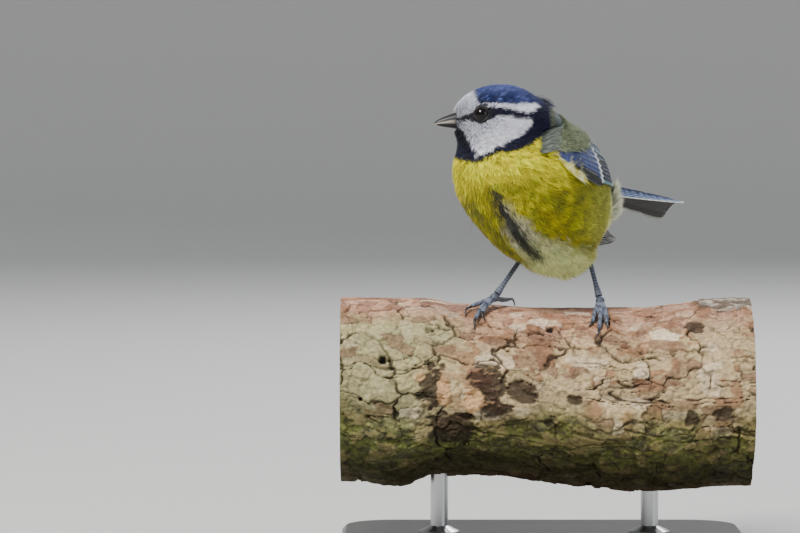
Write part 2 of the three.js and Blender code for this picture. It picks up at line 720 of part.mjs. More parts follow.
function standMeshes() {
  const holes = fused(rodPlaces.map(rodHole));
  return [
    meshOf("perch", branchSolid(0).subtract(holes), FINISH.branch),
    meshOf("stand_base", baseSolid(), FINISH.base),
    ...rodPlaces.map((x, i) => meshOf(`stand_rod_${i + 1}`, rodSolid(x), FINISH.rod)),
  ];
}

const model = new THREE.Group();
model.add(...birdMeshes(), ...standMeshes());

export default model;
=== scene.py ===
"""A life-size blue tit on a short cut length of old branch, dressed over its solids.

Lengths are millimetres in the row frame until a mesh is made, which is in metres.
"""
import logging
import math
from dataclasses import dataclass, field
from enum import Enum
from itertools import product
from typing import Callable, Sequence

import bpy
import numpy as np
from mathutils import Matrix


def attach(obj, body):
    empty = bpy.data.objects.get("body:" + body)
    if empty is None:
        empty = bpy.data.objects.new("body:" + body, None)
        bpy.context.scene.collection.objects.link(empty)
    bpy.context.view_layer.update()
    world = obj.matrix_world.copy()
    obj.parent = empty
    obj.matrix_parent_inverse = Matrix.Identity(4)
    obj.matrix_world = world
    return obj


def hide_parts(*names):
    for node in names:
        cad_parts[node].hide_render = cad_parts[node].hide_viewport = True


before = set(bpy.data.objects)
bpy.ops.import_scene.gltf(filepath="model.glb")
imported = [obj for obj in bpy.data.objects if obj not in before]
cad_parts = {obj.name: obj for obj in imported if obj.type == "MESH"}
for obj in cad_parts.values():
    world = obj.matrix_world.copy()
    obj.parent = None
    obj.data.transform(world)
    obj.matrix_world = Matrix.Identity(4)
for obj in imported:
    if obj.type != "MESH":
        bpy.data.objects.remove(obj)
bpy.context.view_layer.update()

MM = 0.001
FLOOR_SIDES = 96
OUTER_WEB = -1  # the side of a wing feather that shows when the wing is folded
LOG = logging.getLogger("blue_tit")
ROUGH_MIDDLE = 0.47  # about where rough() lies on average
WING_STEPS = 161  # places in the table of each wing edge
BEYOND_WING = 42  # millimetres to one share along a wing, past its ends
Array = np.ndarray
STEPS_ROUND = tuple(product((-1, 0, 1), repeat=3))
Blades = tuple[Array, Array, Array, list[Array]]


def colour(red: int, green: int, blue: int) -> Array:
    """A linear colour from screen values of 0 to 255."""
    screen = np.array([red, green, blue]) / 255.0
    return np.where(screen <= 0.04045, screen / 12.92, ((screen + 0.055) / 1.055) ** 2.4)


def unit(vectors: Array) -> Array:
    """Vectors scaled to a length of one."""
    return vectors / np.maximum(np.linalg.norm(vectors, axis=-1, keepdims=True), 1e-9)


def ramp(values: Array, start: float, end: float) -> Array:
    """A smooth step from 0 at start to 1 at end."""
    share = np.clip((values - start) / (end - start), 0, 1)
    return share * share * (3 - 2 * share)


def mixed(first: Array, second: Array, share: Array) -> Array:
    """Colours part of the way from the first to the second."""
    return first + (second - first) * np.asarray(share)[..., None]


def hashed(cells: Array, seed: float) -> Array:
    """A repeatable number from 0 to 1 for each row of cell numbers.

    Args:
        cells: Rows of cell numbers.
        seed: The number of the draw or pattern.

    Returns:
        A number for each row.
    """
    weights = np.array([127.1, 311.7, 74.7])[: cells.shape[-1]]
    spun = np.sin(cells @ weights + seed * 17.3) * 43758.5453
    return spun - np.floor(spun)


def noise(places: Array, seed: float = 0.0) -> Array:
    """Smooth noise from 0 to 1 at places in space.

    Args:
        places: Places, in noise widths.
        seed: The number of the draw or pattern.

    Returns:
        The noise at each place.
    """
    base = np.floor(places)
    part = places - base
    part = part * part * (3 - 2 * part)
    total = np.zeros(places.shape[:-1])
    for corner in np.ndindex(*([2] * places.shape[-1])):
        offset = np.array(corner)
        share = np.prod(np.where(offset == 1, part, 1 - part), axis=-1)
        total += share * hashed(base + offset, seed)
    return total


def rough(places: Array, octaves: int = 4, seed: float = 0.0) -> Array:
    """Noise of several sizes added up, from 0 to about 1.

    Args:
        places: Places, in widths of the largest noise.
        octaves: How many sizes are added.
        seed: The number of the draw or pattern.

    Returns:
        The noise at each place.
    """
    total = np.zeros(places.shape[:-1])
    for octave in range(octaves):
        total += noise(places * 2**octave, seed + octave) / 2 ** (octave + 1)
    return total


def cells(places: Array, seed: float = 0.0) -> tuple[Array, Array]:
    """Nearness to cell edges and a number for each cell, on a jittered grid of two axes.

    Args:
        places: Places on the plane, in cell widths.
        seed: The pattern's number.

    Returns:
        The distance between the nearest and second nearest cell middles, and the cell's number.
    """
    base = np.floor(places)
    near = np.full(places.shape[:-1], 9.0)
    second = np.full(places.shape[:-1], 9.0)
    number = np.zeros(places.shape[:-1])
    for i in (-1, 0, 1):
        for j in (-1, 0, 1):
            cell = base + np.array([i, j])
            jitter = np.stack([hashed(cell, seed + 1), hashed(cell, seed + 2)], -1)
            far = np.linalg.norm(cell + 0.15 + 0.7 * jitter - places, axis=-1)
            closer = far < near
            second = np.where(closer, near, np.minimum(second, far))
            number = np.where(closer, hashed(cell, seed + 3), number)
            near = np.where(closer, far, near)
    return second - near, number


@dataclass(frozen=True)
class Pose:
    """A frame of forward, left and up, turned from -X towards the viewer, pitched and rolled."""

    origin: tuple[float, float, float]
    turn: float
    pitch: float
    roll: float

    def axes(self) -> Array:
        """The forward, left and up directions as rows.

        Returns:
            A row for each direction.
        """
        turn, pitch, roll = np.radians([self.turn, self.pitch, self.roll])
        forward = np.array(
            [-math.cos(turn) * math.cos(pitch), -math.sin(turn) * math.cos(pitch), math.sin(pitch)]
        )
        level = np.array([math.sin(turn), -math.cos(turn), 0.0])
        above = np.cross(forward, level)
        left = level * math.cos(roll) + above * math.sin(roll)
        return np.array([forward, left, np.cross(forward, left)])

    def local(self, places: Array) -> Array:
        """Places of the row frame in this frame."""
        return (places - np.array(self.origin)) @ self.axes().T

    def world(self, places: Sequence) -> Array:
        """Places of this frame in the row frame."""
        return np.array(self.origin) + np.asarray(places, float) @ self.axes()

    def direction(self, vector: Sequence) -> Array:
        """A direction of this frame in the row frame, one long."""
        return unit(np.asarray(vector, float) @ self.axes())


BODY = Pose((-1, -4.1, 107.4), 55.1, 8.1, 18.1)
HEAD = Pose((-13.2, -12.3, 133.3), 8, -2.6, 0)
TAIL = Pose((12, 16, 112.8), 52.2, 9.4, 12)


@dataclass(frozen=True)
class Plumage:
    """The outer surface of the feathered body and head, as ellipsoids that flow together."""

    blend: float = 5.0
    forms: tuple = (
        (BODY, (0.1, 0, 1.9), (24.5, 18.3, 21.5)),
        (BODY, (-6.8, 0, -0.5), (14.1, 9.3, 21.1)),
        (BODY, (-21.5, 0, 0.9), (9.7, 9.8, 11)),
        (HEAD, (-0.2, 0, -0.5), (10.9, 9.8, 8.8)),
        (HEAD, (6.2, 0, -1.9), (8.5, 7, 7.6)),
        (HEAD, (-3.9, 0, -2.4), (11.8, 10.2, 5.9)),
        (HEAD, (-1, 0, -17.4), (15.8, 12.6, 16.6)),
    )

    def distance(self, places: Array) -> Array:
        """Distance from the surface, below zero inside.

        Args:
            places: Places in the row frame.

        Returns:
            The distance at each place.
        """
        whole = None
        for pose, centre, radii in self.forms:
            scaled = (pose.local(places) - np.array(centre)) / np.array(radii)
            share = np.linalg.norm(scaled, axis=-1)
            slope = np.linalg.norm(scaled / np.array(radii), axis=-1)
            far = share * (share - 1) / np.maximum(slope, 1e-9)
            if whole is None:
                whole = far
            else:
                overlap = np.maximum(self.blend - np.abs(whole - far), 0) / self.blend
                whole = np.minimum(whole, far) - overlap**2 * self.blend / 4
        return whole

    def normal(self, places: Array) -> Array:
        """Outward directions, one long.

        Args:
            places: Places in the row frame.

        Returns:
            A direction for each place.
        """
        step = 0.06
        parts = []
        for axis in np.eye(3) * step:
            parts.append(self.distance(places + axis) - self.distance(places - axis))
        return unit(np.stack(parts, -1))

    def settled(self, places: Array, height: Array | float, rounds: int = 2) -> Array:
        """Places moved along the normal to a height from the surface.

        Args:
            places: Places in the row frame.
            height: The height over the surface.
            rounds: How many times they are moved.

        Returns:
            The moved places.
        """
        for _ in range(rounds):
            short = height - self.distance(places)
            places = places + self.normal(places) * short[..., None]
        return places

    def lifted(self, places: Array, height: Array | float) -> Array:
        """Places moved out where they lie below a height from the surface.

        Args:
            places: Places in the row frame.
            height: The height over the surface.

        Returns:
            The moved places.
        """
        for _ in range(5):
            short = np.maximum(height - self.distance(places), 0)
            places = places + self.normal(places) * short[..., None]
        return places

    def reached(self, start: Array, directions: Array, height: float = 0.0) -> Array:
        """The places where rays from inside pass a height from the surface.

        Args:
            start: Where the rays start.
            directions: The way each ray runs.
            height: The height over the surface.

        Returns:
            A place on each ray.
        """
        low = np.zeros(directions.shape[:-1])
        high = np.full(directions.shape[:-1], 62.0)
        for _ in range(22):
            middle = (low + high) / 2
            inside = self.distance(start + directions * middle[..., None]) < height
            low, high = np.where(inside, middle, low), np.where(inside, high, middle)
        return start + directions * low[..., None]


PLUMAGE = Plumage()
HEART = np.array([-7.0, -7.0, 117.0])


def unwrapped(places: Array) -> Array:
    """Places on the skin as longitude and latitude from the middle of the body, from 0 to 1.

    Args:
        places: Places in the row frame.

    Returns:
        A place on the map for each.
    """
    out = unit(places - HEART)
    around = np.arctan2(out[..., 1], out[..., 0]) / (2 * math.pi) + 0.5
    high = np.arccos(np.clip(out[..., 2], -1, 1)) / math.pi
    return np.stack([around, high], -1)


@dataclass(frozen=True)
class Finish:
    """A surface: its colour or the name of its colour attribute, gloss, and fine relief."""

    name: str
    base: tuple[float, float, float] = (0.8, 0.8, 0.8)
    attribute: str = ""
    roughness: float = 0.6
    metallic: float = 0.0
    specular: float = 0.5
    coat: float = 0.0
    sheen: float = 0.0
    grain: float = 0.0
    grain_size: float = 900.0
    barbs: float = 0.0
    mottle: float = 0.0

    def material(self) -> bpy.types.Material:
        """Builds the finish as a material.

        Returns:
            The material.
        """
        made = bpy.data.materials.new(self.name)
        made.use_nodes = True
        nodes, links = made.node_tree.nodes, made.node_tree.links
        shader = nodes["Principled BSDF"]

        def add(
            kind: str, values: dict[str, float], sources: dict[str, bpy.types.NodeSocket]
        ) -> bpy.types.Node:
            """Adds a node with its numbers and with what feeds it.

            Args:
                kind: The node's type.
                values: Its numbers, by socket.
                sources: What feeds it, by socket.

            Returns:
                The node.
            """
            new = nodes.new(kind)
            for name, value in values.items():
                new.inputs[name].default_value = value
            for name, source in sources.items():
                links.new(source, new.inputs[name])
            return new

        uniform = {
            "Base Color": (*self.base, 1),
            "Roughness": self.roughness,
            "Metallic": self.metallic,
            "Specular IOR Level": self.specular,
            "Coat Weight": self.coat,
            "Coat Roughness": 0.03,
            "Sheen Weight": self.sheen,
        }
        for name, value in uniform.items():
            shader.inputs[name].default_value = value
        place = nodes.new("ShaderNodeTexCoord").outputs["Object"]
        source = None
        if self.attribute:
            tint = nodes.new("ShaderNodeAttribute")
            tint.attribute_name = self.attribute
            source = tint.outputs["Color"]
        if self.mottle:
            size = {"Scale": self.grain_size * 0.6, "Detail": 6}
            speckle = add("ShaderNodeTexNoise", size, {"Vector": place})
            reach = {"From Min": 0.3, "From Max": 0.7, "To Min": 1 - self.mottle, "To Max": 1 + self.mottle}
            shade = add("ShaderNodeMapRange", reach, {"Value": speckle.outputs["Fac"]})
            multiply = add("ShaderNodeVectorMath", {}, {})
            multiply.operation = "SCALE"
            if source is None:
                multiply.inputs[0].default_value = self.base
            else:
                links.new(source, multiply.inputs[0])
            links.new(shade.outputs["Result"], multiply.inputs["Scale"])
            source = multiply.outputs["Vector"]
        if source is not None:
            links.new(source, shader.inputs["Base Color"])
        height = None
        if self.grain:
            relief = add("ShaderNodeTexNoise", {"Scale": self.grain_size, "Detail": 8}, {"Vector": place})
            height = relief.outputs["Fac"]
        if self.barbs:
            vane = nodes.new("ShaderNodeAttribute")
            vane.attribute_name = "vane"
            size = {"Scale": 1.0, "Distortion": 0.6, "Detail Scale": 2.0}
            height = add("ShaderNodeTexWave", size, {"Vector": vane.outputs["Vector"]}).outputs["Fac"]
        if height is not None:
            depth = {"Strength": max(self.grain, self.barbs), "Distance": 0.1 * MM}
            bump = add("ShaderNodeBump", depth, {"Height": height})
            links.new(bump.outputs["Normal"], shader.inputs["Normal"])
        return made


class Shade(Enum):
    """The plumage's colours."""

    CROWN = "crown"
    CROWN_TIP_AND_HIGHLIGHT = "crown_tip_and_highlight"
    WHITE = "white"
    NAVY = "navy"
    YELLOW = "yellow"
    OLIVE = "olive"
    FLANK = "flank"
    AMBER = "amber"
    BELLY = "belly"
    VENT = "vent"
    MANTLE = "mantle"
    NAPE = "nape"
    RUMP = "rump"
    STRIPE = "stripe"

    def rgb(self) -> Array:
        """The linear colour."""
        return SHADES[self]


SHADES = {
    Shade.CROWN: colour(24, 36, 84),
    Shade.CROWN_TIP_AND_HIGHLIGHT: colour(98, 112, 176),
    Shade.WHITE: colour(236, 238, 250),
    Shade.NAVY: colour(14, 16, 42),
    Shade.YELLOW: colour(206, 198, 26),
    Shade.OLIVE: colour(112, 110, 16),
    Shade.FLANK: colour(158, 160, 62),
    Shade.AMBER: colour(156, 142, 12),
    Shade.BELLY: colour(172, 170, 138),
    Shade.VENT: colour(208, 216, 148),
    Shade.MANTLE: colour(104, 112, 86),
    Shade.NAPE: colour(114, 122, 126),
    Shade.RUMP: colour(120, 132, 92),
    Shade.STRIPE: colour(18, 20, 28),
}


def curve_height(forward: Array, points: Sequence[tuple[float, float]]) -> Array:
    """The height of a marking's edge at each place forward."""
    ordered = sorted(points)
    return np.interp(forward, [p[0] for p in ordered], [p[1] for p in ordered])


@dataclass(frozen=True)
class Markings:
    """The pattern of the head in its side view and of the body along and across it."""

    crown_edge: tuple = (
        (8.6, 4.2), (7.3, 3.4), (4.5, 3.3), (0.4, 2.9), (-2.4, 2.6), (-5.4, 2.7), (-8.5, 2.6), (-11, 1.6),
        (-16, -1.5)
    )
    crown_front: float = 8.4
    eye_line_top: tuple = (
        (13.4, -0.9), (10.3, 0.5), (8, 1.6), (5.5, 2.0), (1.9, 1.9), (-2.2, 0.8), (-5.5, -0.1), (-8, 0.3),
        (-10, 1.4), (-13, 3)
    )
    eye_line_low: tuple = (
        (13.4, -1.7), (10.9, -1.7), (9.1, -2.1), (5.9, -1.8), (2.2, -0.5), (-1.9, -1.1), (-7.3, -2.4),
        (-12, -3)
    )
    cheek_low: tuple = (
        (13.4, -3.4), (11.8, -6.5), (9.9, -10), (9.0, -12.2), (5.5, -10.7), (1.9, -9.0), (-2.5, -7),
        (-4.7, -5.7), (-6.8, -4), (-7.6, -2.7)
    )
    collar_low: tuple = (
        (15, -12.2), (12.1, -13.2), (9.8, -13.9), (7, -12.9), (3.4, -11), (-1.2, -10.9), (-6.6, -9.1),
        (-9.9, -7.3), (-13, -5.5), (-16, -4)
    )
    collar_back: float = -13.4
    bib_half: float = 3.0

    def head(self, places: Array) -> tuple[Array, Array]:
        """Colours of the head, and how much of each place belongs to it.

        Args:
            places: Places on the plumage.

        Returns:
            The colours and the share of the head, from 0 to 1.
        """
        at = HEAD.local(places)
        forward, side, up = at[..., 0], np.abs(at[..., 1]), at[..., 2]
        up = up + (noise(places * 1.1, 3) - 0.5) * 0.6 + (noise(places * 3.1, 4) - 0.5) * 0.5
        crown_line = curve_height(forward, self.crown_edge)
        eye_top = curve_height(forward, self.eye_line_top)
        eye_low = curve_height(forward, self.eye_line_low)
        cheek_low = curve_height(forward, self.cheek_low)
        soft = 0.25
        white = Shade.WHITE.rgb() * (1 - 0.16 * ramp(noise(places * 1.6, 9), 0.55, 0.8))[..., None]
        shown = mixed(Shade.NAVY.rgb(), white, ramp(up, eye_top - soft, eye_top + soft))
        in_crown = ramp(up, crown_line - 0.35, crown_line + 0.35)
        in_crown *= ramp(-forward, -self.crown_front - 0.4, -self.crown_front + 1.0)
        # Lighter towards the top of the crown: painted highlight. The noise adds lighter streaks along it.
        top_highlight_and_streaks = ramp(up, 4.5, 9) * 0.5 + 0.75 * ramp(noise(places * [0.8, 2.2, 2.2], 11), 0.45, 0.85)
        crown = mixed(Shade.CROWN.rgb(), Shade.CROWN_TIP_AND_HIGHLIGHT.rgb(), np.clip(top_highlight_and_streaks, 0, 1) * ramp(forward, -12, -6))
        crown = mixed(crown, Shade.NAVY.rgb(), 0.75 * ramp(-forward, 9.5, 12.5))
        shown = mixed(shown, crown, in_crown)
        cheek = ramp(eye_low - up, -soft, soft) * ramp(up - cheek_low, -soft, soft)
        cheek *= ramp(forward, -7.9, -7.3) * ramp(side, self.bib_half - 0.4, self.bib_half + 0.4)
        shown = mixed(shown, white, cheek)
        shown = mixed(shown, Shade.NAVY.rgb(), ramp(-forward, 11.6, 12.4) * ramp(-up, -3, -2))
        low = curve_height(forward, self.collar_low)
        share = ramp(up - low, -0.3, 0.3) * ramp(forward, self.collar_back - 0.5, self.collar_back + 0.5)
        return shown, share

    def body(self, places: Array) -> Array:
        """Colours of the breast, belly, flanks, back and rump.

        Args:
            places: Places in the row frame.

        Returns:
            A colour for each place.
        """
        at = BODY.local(places)
        forward, across, up = at[..., 0], at[..., 1], at[..., 2]
        blotch = noise(places * 0.33, 5)
        streak = noise(places * [1.1, 1.1, 0.55], 6)
        # Darker olive towards the lower body: partly the plumage's own olive, partly painted shade under the
        # overhead light.
        low = ramp(-up, -8, 3)
        shown = mixed(
            Shade.YELLOW.rgb(), Shade.OLIVE.rgb(),
            np.clip(0.04 + 0.8 * low + 0.6 * (blotch - 0.5) + 0.7 * (streak - 0.5), 0, 1)
        )
        flank = ramp(-forward, -9, 4) * ramp(across, 6, 12) * ramp(up, -18, -12)
        shown = mixed(shown, Shade.FLANK.rgb(), flank * 0.8)
        line = np.array([-12.0, -1.0, -6.5])
        start = np.array([17.0, 10.2, -9.0])
        share = np.clip(((at - start) @ line) / (line @ line), 0, 1)
        off = np.linalg.norm(at - start - share[..., None] * line, axis=-1)
        shown = mixed(shown, Shade.AMBER.rgb(), 0.7 * ramp(-off - 3 * (streak - 0.5), -3.0, 0.4))
        half_right = np.interp(
            forward, [-14, -6, 2, 7, 14.7, 19.6, 23.3, 25], [7, 7.6, 8.2, 8.4, 6.6, 5.0, 3.6, 1.5]
        )
        half_left = np.interp(forward, [-14, -5, 6.5, 15.6, 19.8, 23], [7, 6.5, 5, 4.4, 3.0, 0.5])
        inside = np.where(
            across > 0, half_right - across, half_left + across
        ) + 2.4 * (blotch - 0.5) + 1.2 * (streak - 0.5)
        pale = ramp(inside, -1.0, 1.4) * ramp(-up, 2, 5)
        belly = mixed(Shade.BELLY.rgb(), Shade.VENT.rgb(), ramp(-up, 13, 19))
        belly = belly * (
            1 - 0.4 * ramp(noise(places * [1.4, 1.4, 0.7], 12), 0.45, 0.8) * ramp(up, -19, -14)
        )[..., None]
        shown = mixed(shown, belly, pale * 0.95)
        vent = ramp(-forward, 12, 22) * ramp(-up, -6, 2)
        shown = mixed(shown, Shade.VENT.rgb(), vent)
        middle = np.interp(forward, [8, 11, 17, 21, 24.5, 26], [-0.4, 0.1, 0.3, 0.3, 0.1, -0.4])
        half = np.interp(forward, [6, 8, 11, 17, 21, 24.5, 26, 28], [0.9, 1.5, 1.9, 1.9, 1.8, 1.6, 1.1, 0.7])
        edge = half - np.abs(across - middle) + 1.5 * (
            noise(places * 1.3, 8) - 0.5
        ) + 0.8 * (noise(places * 4, 18) - 0.5)
        stripe = ramp(edge, -0.5, 0.5) * ramp(-up, -2.2, 0.2) * ramp(forward, 5.0, 8.5)
        shown = mixed(shown, Shade.STRIPE.rgb(), stripe * 0.93)
        back = ramp(up, 8.6, 10.0) * ramp(-forward, -17.0, -15.2)
        tone = mixed(Shade.MANTLE.rgb(), Shade.NAPE.rgb(), ramp(forward, 9, 15) * 0.7)
        shown = mixed(shown, tone, back)
        rump = ramp(-forward, 14, 20) * ramp(up, 1, 5)
        return mixed(shown, Shade.RUMP.rgb(), rump)

    def at(self, places: Array) -> Array:
        """Colours at places on the plumage."""
        shown, share = self.head(places)
        return mixed(self.body(places), shown, share)


MARKINGS = Markings()


@dataclass
class MeshParts:
    """Corners and faces of one piece, gathered before its mesh is made."""

    places: list[Array] = field(default_factory=list)
    colours: list[Array] = field(default_factory=list)
    maps: list[Array] = field(default_factory=list)
    vanes: list[Array] = field(default_factory=list)
    faces: list[Array] = field(default_factory=list)
    count: int = 0

    def add(
        self, places: Array, faces: Sequence[Array], colours: Array, maps: Array, vanes: Array | None = None
    ) -> None:
        """Adds corners with their colours and map places, and faces that number them from 0.

        Args:
            places: The corners.
            faces: Groups of faces, numbered from 0.
            colours: Their colours, or one for all.
            maps: Their places on the map.
            vanes: Their places along the barbs, on long feathers.
        """
        self.places.append(places)
        self.colours.append(np.broadcast_to(colours, places.shape))
        self.maps.append(np.broadcast_to(maps, (len(places), 2)))
        self.vanes.append(np.zeros_like(places) if vanes is None else vanes)
        for group in faces:
            self.faces.append(np.asarray(group) + self.count)
        self.count += len(places)

    def made(self, name: str, finish: bpy.types.Material, smooth: bool = True) -> bpy.types.Object:
        """Makes the mesh object, in metres.

        Args:
            name: The piece's name.
            finish: The material.
            smooth: Whether its faces are shaded smooth.

        Returns:
            The mesh object.
        """
        places = np.concatenate(self.places) * MM
        corners = np.concatenate([group.ravel() for group in self.faces]).astype(np.int32)
        sizes = np.concatenate([np.full(len(group), group.shape[1]) for group in self.faces]).astype(np.int32)
        mesh = bpy.data.meshes.new(name)
        mesh.vertices.add(len(places))
        mesh.vertices.foreach_set("co", places.ravel().astype(np.float32))
        mesh.loops.add(len(corners))
        mesh.loops.foreach_set("vertex_index", corners)
        mesh.polygons.add(len(sizes))
        mesh.polygons.foreach_set("loop_start", (np.cumsum(sizes) - sizes).astype(np.int32))
        mesh.polygons.foreach_set("use_smooth", np.full(len(sizes), smooth))
        mesh.update(calc_edges=True)
        tint = mesh.color_attributes.new("tint", "FLOAT_COLOR", "POINT")
        rgba = np.concatenate([np.concatenate(self.colours), np.ones((len(places), 1))], 1)
        tint.data.foreach_set("color", rgba.ravel().astype(np.float32))
        vane = mesh.attributes.new("vane", "FLOAT_VECTOR", "POINT")
        vane.data.foreach_set("vector", np.concatenate(self.vanes).ravel().astype(np.float32))
        layer = mesh.uv_layers.new(name="OFBake")
        maps = np.concatenate(self.maps)[corners]
        layer.data.foreach_set("uv", maps.ravel().astype(np.float32))
        mesh.materials.append(finish)
        made = bpy.data.objects.new(name, mesh)
        bpy.context.scene.collection.objects.link(made)
        LOG.info("%s: %d faces", name, len(sizes))
        return made


def mesh_places(mesh: bpy.types.Mesh) -> Array:
    """The corners of a mesh, in millimetres.

    Args:
        mesh: The mesh.

    Returns:
        A place for each corner.
    """
    places = np.empty(len(mesh.vertices) * 3, np.float32)
    mesh.vertices.foreach_get("co", places)
    return places.reshape(-1, 3).astype(float) / MM


def set_map(mesh: bpy.types.Mesh, maps: Array) -> None:
    """Gives a mesh one map, from a place on it for each corner.

    Args:
        mesh: The mesh.
        maps: A place on the map for each corner.
    """
    while mesh.uv_layers:
        mesh.uv_layers.remove(mesh.uv_layers[0])
    corners = np.empty(len(mesh.loops), np.int32)
    mesh.loops.foreach_get("vertex_index", corners)
    layer = mesh.uv_layers.new(name="OFBake")
    layer.data.foreach_set("uv", maps[corners].ravel().astype(np.float32))


def placed(obj: bpy.types.Object, slot: str, *nodes: str) -> None:
    """Sets a piece on the object's one body and hides the solids it stands for.

    Args:
        obj: The piece.
        slot: The material slot; not used.
        nodes: The solids that it stands for.
    """
    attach(obj, "root")
    if nodes:
        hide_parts(*nodes)


def grid_faces(rows: int, columns: int, closed: bool = False) -> Array:
    """Four-cornered faces of a grid of corners, closed round its columns if asked.

    Args:
        rows: How many rows of corners.
        columns: How many corners a row has.
        closed: Whether it closes round its columns.

    Returns:
        Four corner numbers for each face.
    """
    last = columns if closed else columns - 1
    i, j = np.meshgrid(np.arange(rows - 1), np.arange(last), indexing="ij")
    following = (j + 1) % columns
    corner = lambda a, b: (a * columns + b).ravel()
    return np.stack([corner(i, j), corner(i, following), corner(i + 1, following), corner(i + 1, j)], 1)


def grid_map(rows: int, columns: int, left: float, low: float, wide: float, tall: float) -> Array:
    """A patch of the map for a grid of corners."""
    down, across = np.meshgrid(np.linspace(0, 1, rows), np.linspace(0, 1, columns), indexing="ij")
    return np.stack([left + wide * across.ravel(), low + tall * down.ravel()], 1)


def smooth_path(points: Sequence, count: int) -> Array:
    """Places along a smooth curve through points.

    Args:
        points: The points it passes through.
        count: How many places.

    Returns:
        The places.
    """
    points = np.asarray(points, float)
    shares = np.linspace(0, 1, count)
    return np.array([curve_place(points, share) for share in shares])


def curve_place(points: Array, share: float) -> Array:
    """The place at a share of a smooth curve that passes through every point.

    Args:
        points: The points it passes through.
        share: The share of the curve, from 0 to 1.

    Returns:
        The place.
    """
    spans = len(points) - 1
    at = min(max(share, 0.0), 1.0) * spans
    index = min(int(at), spans - 1)
    weight = at - index
    first, second = points[index], points[index + 1]
    before = points[index - 1] if index > 0 else 2 * first - second
    after = points[index + 2] if index + 2 <= spans else 2 * second - first
    steps = [
        max(np.linalg.norm(b - a) ** 0.5, 1e-4) for a,
        b in ((before, first), (first, second), (second, after))
    ]
    start = (first - before) / steps[0] - (second - before) / (
        steps[0] + steps[1]
    ) + (second - first) / steps[1]
    end = (second - first) / steps[1] - (after - first) / (steps[1] + steps[2]) + (after - second) / steps[2]
    start, end = start * steps[1], end * steps[1]
    square, cube = weight**2, weight**3
    return (
        first
        + start * weight
        + (-3 * first + 3 * second - 2 * start - end) * square
        + (2 * first - 2 * second + start + end) * cube
    )


